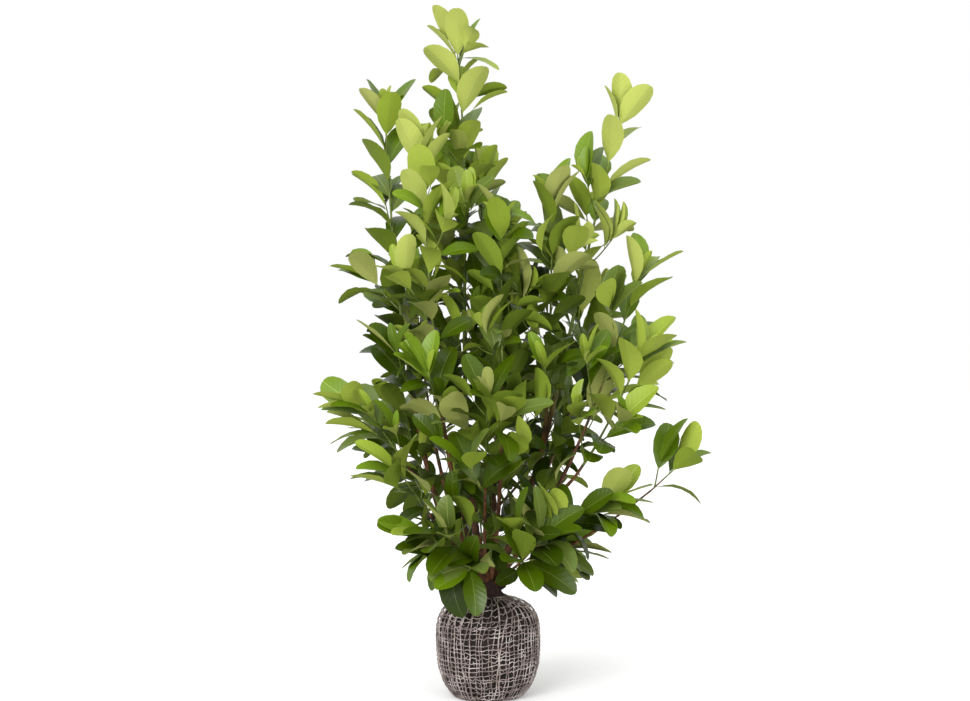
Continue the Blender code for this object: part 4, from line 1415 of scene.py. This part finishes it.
@dataclass
class Foliage:
    """All the leaves, copied from the pattern into one piece for each tint."""

    crown: Crown
    pattern: LeafPattern
    slots: dict[Tint, str] = field(
        default_factory=lambda: {
            Tint.YOUNG: "leaf_pale",
            Tint.FRESH: "leaf_pale",
            Tint.LIVELY: "leaf_olive",
            Tint.OLIVE: "leaf_olive",
            Tint.FULL: "leaf_mid",
            Tint.DEEP: "leaf_dark",
        }
    )

    def build(self) -> list[bpy.types.Object]:
        """Deals the leaves out to the tints and builds each tint's piece.

        Returns:
            The pieces.
        """
        dealt: dict[Tint, list[Leaf]] = {tint: [] for tint in Tint}
        luck = random.Random(7)
        for index, shoot in enumerate(SHOOTS):
            for leaf in [*self.crown.leaves[shoot.name], *self.crown.extra[shoot.name]]:
                dealt[self.tint_of(leaf, luck)].append(leaf)
        pieces = []
        for finish in LEAF_FINISHES:
            piece = self.joined(f"leaves_{finish.tint.value}", dealt[finish.tint])
            for material in finish.materials():
                piece.data.materials.append(material)
            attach(piece, BODY)
            log.info("%s: %d leaves", piece.name, len(dealt[finish.tint]))
            pieces.append(piece)
        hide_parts(*(f"leaves_{shoot.name}" for shoot in SHOOTS))
        return pieces

    def tint_of(self, leaf: Leaf, luck: random.Random) -> Tint:
        """Chooses a leaf's tint: pale at the tips and high up, dark low down, and dark near the crown's axis, which is
        painted shade.

        Args:
            leaf: The leaf.
            luck: The random source.

        Returns:
            Its tint.
        """
        height = (leaf.root.z - 0.30) / 1.4
        # Painted shade: the nearer a leaf is to the axis, the darker its tint, standing in for the shade inside the
        # crown
        outward = min(0.4, math.hypot(leaf.root.x, leaf.root.y))
        score = 0.46 * height + 0.34 * (1.0 - leaf.age) + 0.5 * outward + leaf.shade + luck.gauss(0.0, 0.08)
        limits = ((0.82, Tint.YOUNG), (0.66, Tint.FRESH), (0.54, Tint.LIVELY), (0.46, Tint.OLIVE), (0.30, Tint.FULL))
        return next((tint for limit, tint in limits if score > limit), Tint.DEEP)

    def joined(self, name: str, leaves: list[Leaf]) -> bpy.types.Object:
        """Copies the pattern to every leaf's place and joins the copies.

        Args:
            name: The piece's name.
            leaves: Where the leaves are, and how large.

        Returns:
            The mesh object.
        """
        pattern = self.pattern
        number, count = len(leaves), len(pattern.points)
        luck = np.random.default_rng(len(name) * 977 + number)
        root, along, up = (np.array([tuple(getattr(leaf, k)) for leaf in leaves])[:, None] for k in ("root", "along", "up"))
        sizes = ("length", "half_width", "curl", "fold", "age")
        length, half, curl, folded, age = (np.array([getattr(leaf, k) for leaf in leaves])[:, None] for k in sizes)
        x, y, z = (pattern.points[None, :, i] for i in range(3))
        twist = luck.normal(0.0, 0.16, (number, 1)) * x
        ripple = luck.uniform(0.2, 1.0, (number, 1)) * 0.016 * np.abs(y) ** 2
        ripple = ripple * np.sin(luck.uniform(9.0, 15.0, (number, 1)) * x + np.sign(y) * luck.uniform(0.6, 2.4, (number, 1)))
        fold = luck.uniform(0.5, 1.6, (number, 1)) * LEAVES.fold * folded
        bend = luck.normal(0.0, 0.018, (number, 1)) * x * x
        arch = (0.06 + 0.50 * np.minimum(1.0, 1.5 * age)) * luck.uniform(0.4, 1.4, (number, 1))
        rise = fold * np.abs(y) ** 1.25 * half + (z - curl * x * x + arch * (x - x * x) + ripple) * length
        side = y * half + bend * length
        across = np.cross(up, along)
        turned = across * np.cos(twist)[..., None] + up * np.sin(twist)[..., None]
        risen = up * np.cos(twist)[..., None] - across * np.sin(twist)[..., None]
        places = root + along * (x * length)[..., None] + turned * side[..., None] + risen * rise[..., None]
        mesh = bpy.data.meshes.new(name)
        mesh.vertices.add(number * count)
        mesh.vertices.foreach_set("co", places.astype(np.float32).ravel())
        step = np.arange(number)[:, None]
        loops = (pattern.loops[None] + step * count).ravel()
        totals = np.tile(pattern.totals, number)
        mesh.loops.add(len(loops))
        mesh.loops.foreach_set("vertex_index", loops.astype(np.int32))
        mesh.polygons.add(len(totals))
        mesh.polygons.foreach_set("loop_start", (np.cumsum(totals) - totals).astype(np.int32))
        mesh.polygons.foreach_set("loop_total", totals.astype(np.int32))
        mesh.polygons.foreach_set("material_index", np.tile(pattern.slots, number).astype(np.int32))
        mesh.update(calc_edges=True)
        mesh.polygons.foreach_set("use_smooth", np.ones(len(totals), dtype=bool))
        uv = mesh.uv_layers.new(name="leaf")
        uv.data.foreach_set("uv", np.tile(pattern.points[pattern.loops][:, :2], (number, 1)).astype(np.float32).ravel())
        ends = np.empty(len(mesh.edges) * 2, dtype=np.int32)
        mesh.edges.foreach_get("vertices", ends)
        ends = ends.reshape(-1, 2) % count
        mesh.edges.foreach_set("use_edge_sharp", pattern.rim[ends[:, 0], ends[:, 1]])
        mesh.validate()
        obj = bpy.data.objects.new(name, mesh)
        bpy.context.scene.collection.objects.link(obj)
        return obj


@dataclass
class Boughs:
    """The bare boughs, as round limbs with leaf scars and a bark relief."""

    crown: Crown
    step: float = 0.006
    scar_spacing: float = 0.034
    scar: float = 0.10
    relief: float = 0.0011

    def build(self) -> bpy.types.Object:
        """Builds all the boughs as one piece.

        Returns:
            The piece.
        """
        threads = [self.thread(shoot) for shoot in SHOOTS]
        piece = tubes("boughs", threads, 3)
        apply_modifier(piece, "DISPLACE", texture=clouds("bark_relief", 0.007, 3), strength=self.relief, mid_level=0.5)
        piece.data.materials.append(BOUGH_BARK.material())
        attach(piece, BODY)
        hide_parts(*(f"bough_{shoot.name}" for shoot in SHOOTS))
        return piece

    def thread(self, shoot: Shoot) -> Thread:
        """Lays out one bough, a little swollen at each old leaf scar.

        Args:
            shoot: The shoot.

        Returns:
            Its middle line and radii.
        """
        bough = self.crown.boughs[shoot.name]
        points, radii = [], []
        for share, place in smoothed(bough.line, 0.0, bough.end + 0.004, self.step):
            away = share * bough.line.length / self.scar_spacing
            ring = math.exp(-(((away + 0.5) % 1.0 - 0.5) * self.scar_spacing / 0.004) ** 2)
            wobble = noise.noise(Vector((share * 30.0, shoot.seed, 0.0)))
            radii.append(bough.radius_at(share) * (1.0 + self.scar * ring + 0.06 * wobble))
            points.append(place)
        return Thread(points, radii)


@dataclass
class Stems:
    """The leafy stems, twigs and spurs: brown where they are old, green where they are young."""

    crown: Crown
    green_from: float = 0.42
    step: float = 0.012

    def build(self) -> list[bpy.types.Object]:
        """Builds the old wood and the young wood as two pieces.

        Returns:
            The pieces.
        """
        old, young = [], []
        for shoot in SHOOTS:
            stem = self.crown.stems[shoot.name]
            change = blend(stem.start, 1.0, self.green_from if shoot.parent == STOOL else 0.12)
            old.append(self.thread(stem, stem.start - 0.004, change))
            young.append(self.thread(stem, change - 0.003, 1.0))
            young += [self.thread(twig, 0.0, 1.0) for twig in self.crown.twigs[shoot.name]]
            young += [self.thread(spur, 0.0, 1.0) for spur in self.crown.spurs[shoot.name]]
        pieces = []
        for name, threads, finish, slot in (
            ("stems_old", old, BOUGH_BARK, "old_bark"),
            ("stems_young", young, YOUNG_BARK, "young_bark"),
        ):
            piece = tubes(name, threads, 1)
            piece.data.materials.append(finish.material())
            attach(piece, BODY)
            pieces.append(piece)
        return pieces

    def thread(self, limb: Limb, start: float, end: float) -> Thread:
        """Lays out a stretch of a limb.

        Args:
            limb: The limb.
            start: The share of its line to start at.
            end: The share to end at.

        Returns:
            Its middle line and radii.
        """
        samples = smoothed(limb.line, max(0.0, start), end, self.step)
        return Thread([p for _, p in samples], [limb.radius_at(s) for s, _ in samples])


@dataclass
class Stool:
    """The knuckle of old wood that the boughs leave from, with a sawn-off stem on its right."""

    grain: float = 0.0022
    relief: float = 0.0090

    def build(self) -> bpy.types.Object:
        """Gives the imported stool's shape a fine skin with gnarls and bark.

        Returns:
            The piece.
        """
        cad = frame["nodes"][STOOL]
        piece = bpy.data.objects.new("stool_bark", cad.data.copy())
        bpy.context.scene.collection.objects.link(piece)
        activate(piece)
        bpy.ops.object.mode_set(mode="EDIT")
        bpy.ops.mesh.select_all(action="SELECT")
        bpy.ops.mesh.remove_doubles(threshold=1e-5)
        bpy.ops.object.mode_set(mode="OBJECT")
        apply_modifier(piece, "REMESH", mode="VOXEL", voxel_size=self.grain)
        apply_modifier(piece, "SMOOTH", factor=0.8, iterations=6)
        apply_modifier(piece, "DISPLACE", texture=clouds("gnarls", 0.024, 3), strength=self.relief, mid_level=0.5)
        activate(piece)
        bpy.ops.object.shade_smooth()
        piece.data.materials.clear()
        piece.data.materials.append(STOOL_BARK.material())
        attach(piece, BODY)
        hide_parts(STOOL)
        return piece


@dataclass(frozen=True)
class BallShape:
    """The root ball's outline, as the solid has it."""

    radius: float = 0.134
    height: float = 0.256
    waist: float = 0.150
    foot_radius: float = 0.085
    top_radius: float = 0.052
    under_power: float = 2.6
    over_power: float = 3.0
    lump: float = 0.014

    def radius_at(self, height: float) -> float:
        """Gives the radius of the turned outline at a height."""
        low = height < self.waist
        power = self.under_power if low else self.over_power
        end = self.foot_radius if low else self.top_radius
        span = self.waist if low else self.height - self.waist
        reach = span / (1.0 - (end / self.radius) ** power) ** (1.0 / power)
        share = min(1.0, abs(height - self.waist) / reach)
        return self.radius * (1.0 - share**power) ** (1.0 / power)

    def point(self, angle: float, height: float, out: float) -> Vector:
        """Gives a place on the lumpy ball.

        Args:
            angle: Its angle round the ball, in radians.
            height: Its height.
            out: How far outside the surface it is.

        Returns:
            The place.
        """
        middle = math.sin(math.pi * min(1.0, max(0.0, height / self.height)))
        wave = math.sin(3 * angle + 0.7) + 0.7 * math.sin(5 * angle + 2.1 + 14 * height)
        radius = self.radius_at(height) * (1.0 + self.lump * middle * wave) + out
        return Vector((radius * math.cos(angle), radius * math.sin(angle), height))


BALL = BallShape()


@dataclass
class SoilBall:
    """The soil of the root ball, crumbly between the threads of its net."""

    relief: float = 0.0085

    def build(self) -> bpy.types.Object:
        """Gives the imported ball's shape a crumbly skin that sinks in between the threads.

        Returns:
            The piece.
        """
        cad = frame["nodes"]["root_ball"]
        piece = bpy.data.objects.new("soil_ball", cad.data.copy())
        bpy.context.scene.collection.objects.link(piece)
        activate(piece)
        bpy.ops.object.mode_set(mode="EDIT")
        bpy.ops.mesh.select_all(action="SELECT")
        bpy.ops.mesh.remove_doubles(threshold=1e-5)
        bpy.ops.mesh.tris_convert_to_quads()
        bpy.ops.object.mode_set(mode="OBJECT")
        apply_modifier(piece, "SUBSURF", levels=2, render_levels=2)
        apply_modifier(piece, "SUBSURF", levels=2, render_levels=2, subdivision_type="SIMPLE")
        group = piece.vertex_groups.new(name="above_foot")
        for vertex in piece.data.vertices:
            group.add([vertex.index], min(1.0, max(0.0, (vertex.co.z - 0.001) / 0.012)), "REPLACE")
        for name, size, share in (("clods", 0.030, 0.6), ("crumbs", 0.009, 0.5)):
            apply_modifier(
                piece,
                "DISPLACE",
                texture=clouds(name, size, 3),
                strength=self.relief * share,
                mid_level=0.85,
                vertex_group="above_foot",
            )
        activate(piece)
        bpy.ops.object.shade_smooth()
        piece.data.materials.clear()
        piece.data.materials.append(SoilFinish().material())
        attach(piece, BODY)
        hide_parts("root_ball")
        return piece


@dataclass
class Netting:
    """The knitted net round the ball: threads up the sides, rings round it, gathered at the neck."""

    wales: int = 72
    courses: int = 22
    thread: float = 0.00100
    lowest: float = 0.0024
    stand: float = 0.0004
    gather_angle: float = math.radians(-48.0)
    neck: float = 0.040
    tilt: float = 0.006

    def build(self) -> bpy.types.Object:
        """Builds the net as one piece.

        Returns:
            The piece.
        """
        luck = random.Random(3)
        ups = [self.wale(i, luck) for i in range(self.wales)]
        rings = [self.course(i, luck) for i in range(self.courses)]
        rings += [self.neck_roll(i) for i in range(4)]
        crossings = [self.crossing(luck) for _ in range(240)]
        rising = tubes("net_wales", ups + crossings, 0)
        round_it = tubes("net_courses", rings, 0, closed=True)
        activate(rising)
        round_it.select_set(True)
        bpy.ops.object.join()
        rising.name = "ball_netting"
        rising.data.materials.append(NetFinish().material())
        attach(rising, BODY)
        return rising

    def gathered(self, angle: float, height: float) -> float:
        """Pulls an angle towards the gather, more the nearer it is to the neck.

        Args:
            angle: The angle round the ball, in radians.
            height: The height.

        Returns:
            The angle after the pull.
        """
        away = (angle - self.gather_angle + math.pi) % math.tau - math.pi
        pull = max(0.0, (height - 0.13) / (BALL.height - 0.13)) ** 2
        return angle - 0.40 * pull * away * math.exp(-((away / 0.75) ** 2))

    def place(self, angle: float, height: float, lift: float = 0.0) -> Vector:
        """Gives a thread's place on the ball, or over its bare top beyond the top ring."""
        over = height - BALL.height
        if over <= 0.0:
            return BALL.point(self.gathered(angle, height), max(0.0, height), self.stand + lift)
        turned = self.gathered(angle, BALL.height)
        radius = max(self.neck, BALL.top_radius - over)
        rise = BALL.height + 0.0012 + lift + 0.004 * math.sin(min(1.0, over / 0.012) * math.pi)
        return Vector((radius * math.cos(turned), radius * math.sin(turned), rise))

    def wale(self, number: int, luck: random.Random) -> Thread:
        """Lays one thread from the foot to the neck.

        Args:
            number: Its number round the ball.
            luck: The random source.

        Returns:
            The thread.
        """
        base = math.tau * (number + luck.uniform(-0.22, 0.22)) / self.wales
        merging = number % 2 * math.tau / self.wales
        top = BALL.height + (-0.018 if merging else 0.012)
        phase, swerve = luck.uniform(0.0, math.tau), luck.uniform(0.008, 0.028)
        size = self.thread * luck.choice((0.75, 0.85, 0.95, 1.05, 1.5))
        points, radii = [], []
        for i in range(73):
            share = i / 72
            height = top * (0.5 - 0.5 * math.cos(math.pi * share))
            drift = swerve * math.sin(phase + 9.0 * share) + 0.010 * math.sin(31.0 * share + 2.0 * phase)
            drift += merging * min(1.0, max(0.0, (height - 0.15) / 0.08)) ** 2
            points.append(self.place(base + drift, max(self.lowest, height)))
            radii.append(self.thickened(size, height * self.courses / BALL.height))
        return Thread(points, radii)

    def thickened(self, plain: float, place: float) -> float:
        """Gives a thread's radius, half as thick again where it is knotted to a crossing thread.

        Args:
            plain: The radius between the knots.
            place: How far along it is, in knots.

        Returns:
            The radius.
        """
        return plain * (1.0 + 0.5 * abs(math.cos(math.pi * place)) ** 6)

    def course(self, number: int, luck: random.Random) -> Thread:
        """Lays one thread round the ball.

        Args:
            number: Its number from the foot up.
            luck: The random source.

        Returns:
            The thread.
        """
        middle = 0.004 + (BALL.height - 0.008) * (number + 0.5) / self.courses
        phase, sag = luck.uniform(0.0, math.tau), luck.uniform(0.002, 0.0050)
        size = self.thread * luck.uniform(0.70, 1.15)
        points, radii = [], []
        for i in range(2 * self.wales):
            angle = math.tau * i / (2 * self.wales)
            wave = sag * math.sin(2 * angle + phase) + self.tilt * math.cos(angle)
            wave += luck.gauss(0.0, 0.0015) + 0.0010 * math.sin(41 * angle + phase)
            away = (angle - self.gather_angle + math.pi) % math.tau - math.pi
            wave += 0.016 * (middle / BALL.height) ** 3 * math.exp(-((away / 0.5) ** 2))
            height = min(BALL.height - 0.0005, max(self.lowest, middle + wave))
            points.append(self.place(angle, height, self.thread * (0.4 + 0.8 * (i % 2))))
            radii.append(self.thickened(size, 0.5 * i))
        return Thread(points, radii)

    def neck_roll(self, number: int) -> Thread:
        """Lays one turn of the rolled edge round the bare top.

        Args:
            number: Its number, from the outside in.

        Returns:
            The thread.
        """
        points = []
        for i in range(72):
            angle = math.tau * i / 72
            radius = self.neck + 0.003 * math.sin(3 * angle + number) + 0.0022 * number
            height = BALL.height + 0.0022 + 0.0012 * math.sin(5 * angle + 2.0 * number)
            points.append(Vector((radius * math.cos(angle), radius * math.sin(angle), height)))
        return Thread(points, [self.thread * 1.25] * len(points))

    def crossing(self, luck: random.Random) -> Thread:
        """Lays a short slanting thread between two others, as where the net is pulled askew."""
        angle, height = luck.uniform(0.0, math.tau), luck.uniform(0.01, 0.235)
        turn, climb = luck.uniform(-0.13, 0.13), luck.uniform(-0.016, 0.016)
        shares = [i / 6 for i in range(7)]
        points = [
            self.place(angle + turn * s, min(BALL.height - 0.001, max(0.002, height + climb * s)), self.thread) for s in shares
        ]
        return Thread(points, [self.thread * 0.8] * len(points))


@dataclass
class Studio:
    """A pale floor and backdrop, soft lights and the photograph's camera."""

    lens: float = 59.95
    camera_place: tuple[float, float, float] = (-0.0078, -4.2, 0.896)
    surround: float = 0.85
    floor_bounce: float = 0.43
    floor_glow: float = 0.10

    def build(self) -> None:
        """Sets up floor, lights, world and camera."""
        self.floor()
        self.sun("sky_light", 1.1, 60.0, Vector((0.8, 1.8, -3.2)))
        self.light("key_light", (-2.0, -4.4, 2.4), 2.5, 170.0, Vector((0.0, 0.0, 0.9)))
        self.light("fill_light", (3.0, -3.6, 1.2), 2.5, 70.0, Vector((0.0, 0.0, 0.8)))
        world = bpy.data.worlds.new("studio_white")
        world.use_nodes = True
        nodes, links = world.node_tree.nodes, world.node_tree.links
        back = nodes["Background"]
        back.inputs["Color"].default_value = srgb("#FFFFFF")
        # The backdrop is white to the eye, and lights the plant only as much as soft boxes would
        path = nodes.new("ShaderNodeLightPath")
        strength = nodes.new("ShaderNodeMapRange")
        strength.inputs["To Min"].default_value = self.surround
        strength.inputs["To Max"].default_value = 1.0
        links.new(path.outputs["Is Camera Ray"], strength.inputs["Value"])
        links.new(strength.outputs[0], back.inputs["Strength"])
        bpy.context.scene.world = world
        bpy.context.scene.view_settings.view_transform = "Standard"
        data = bpy.data.cameras.new("camera")
        data.sensor_width = 36.0
        data.lens = self.lens
        camera = bpy.data.objects.new("camera", data)
        camera.location = self.camera_place
        camera.rotation_euler = (math.radians(90.0), 0.0, 0.0)
        bpy.context.scene.collection.objects.link(camera)
        bpy.context.scene.camera = camera

    def floor(self) -> None:
        """Lays the pale floor."""
        deselect()
        bpy.ops.mesh.primitive_plane_add(size=60.0, location=(0.0, 0.0, 0.0))
        floor = bpy.context.view_layer.objects.active
        floor.name = "studio_floor"
        tree = Tree.new("matt_white_studio_floor")
        path = tree.add("ShaderNodeLightPath")
        shade = tree.add("ShaderNodeMapRange", None, Value=path.outputs["Is Camera Ray"])
        shade.inputs["To Min"].default_value = self.floor_bounce
        shade.inputs["To Max"].default_value = 0.96
        tree.link(shade.outputs[0], "Base Color")
        tree.surface.inputs["Roughness"].default_value = 1.0
        tree.surface.inputs["Specular IOR Level"].default_value = 0.0
        # A lightbox floor: it glows a little, which thins the wide shadow of the crown
        tree.surface.inputs["Emission Color"].default_value = srgb("#FFFFFF")
        tree.surface.inputs["Emission Strength"].default_value = self.floor_glow
        floor.data.materials.append(tree.material)

    def sun(self, name: str, power: float, spread: float, heading: Vector) -> None:
        """Hangs one wide overhead light.

        Args:
            name: Its name.
            power: Its strength.
            spread: How many degrees of the sky it fills.
            heading: The way that it shines.
        """
        data = bpy.data.lights.new(name, "SUN")
        data.energy = power
        data.angle = math.radians(spread)
        lamp = bpy.data.objects.new(name, data)
        lamp.rotation_mode = "QUATERNION"
        lamp.rotation_quaternion = heading.to_track_quat("-Z", "Y")
        bpy.context.scene.collection.objects.link(lamp)

    def light(self, name: str, place: tuple[float, float, float], size: float, power: float, aim: Vector) -> None:
        """Hangs one soft square light.

        Args:
            name: Its name.
            place: Where it hangs.
            size: The length of its side.
            power: Its power in watts.
            aim: The point that it faces.
        """
        data = bpy.data.lights.new(name, "AREA")
        data.size = size
        data.energy = power
        lamp = bpy.data.objects.new(name, data)
        lamp.location = place
        lamp.rotation_mode = "QUATERNION"
        lamp.rotation_quaternion = (aim - Vector(place)).to_track_quat("-Z", "Y")
        bpy.context.scene.collection.objects.link(lamp)


def main() -> None:
    """Builds the studio and the plant, piece by piece, and notes the sizes."""
    logging.basicConfig(level=logging.INFO, format="%(name)s %(message)s")
    Studio().build()
    solid = [frame["nodes"][name] for name in ("root_ball", STOOL, *(f"bough_{shoot.name}" for shoot in SHOOTS))]
    crown = Crown(solid)
    crown.grow()
    log.info("grown: %d leaves and %d on spurs", sum(map(len, crown.leaves.values())), sum(map(len, crown.extra.values())))
    pieces = [SoilBall().build(), Netting().build(), Stool().build(), Boughs(crown).build(), *Stems(crown).build()]
    pattern = LeafPattern()
    pattern.build()
    pieces += Foliage(crown, pattern).build()
    for piece in pieces:
        log.info("%s: %d faces", piece.name, len(piece.data.polygons))
    bpy.context.view_layer.update()


if __name__ == "__main__":
    main()
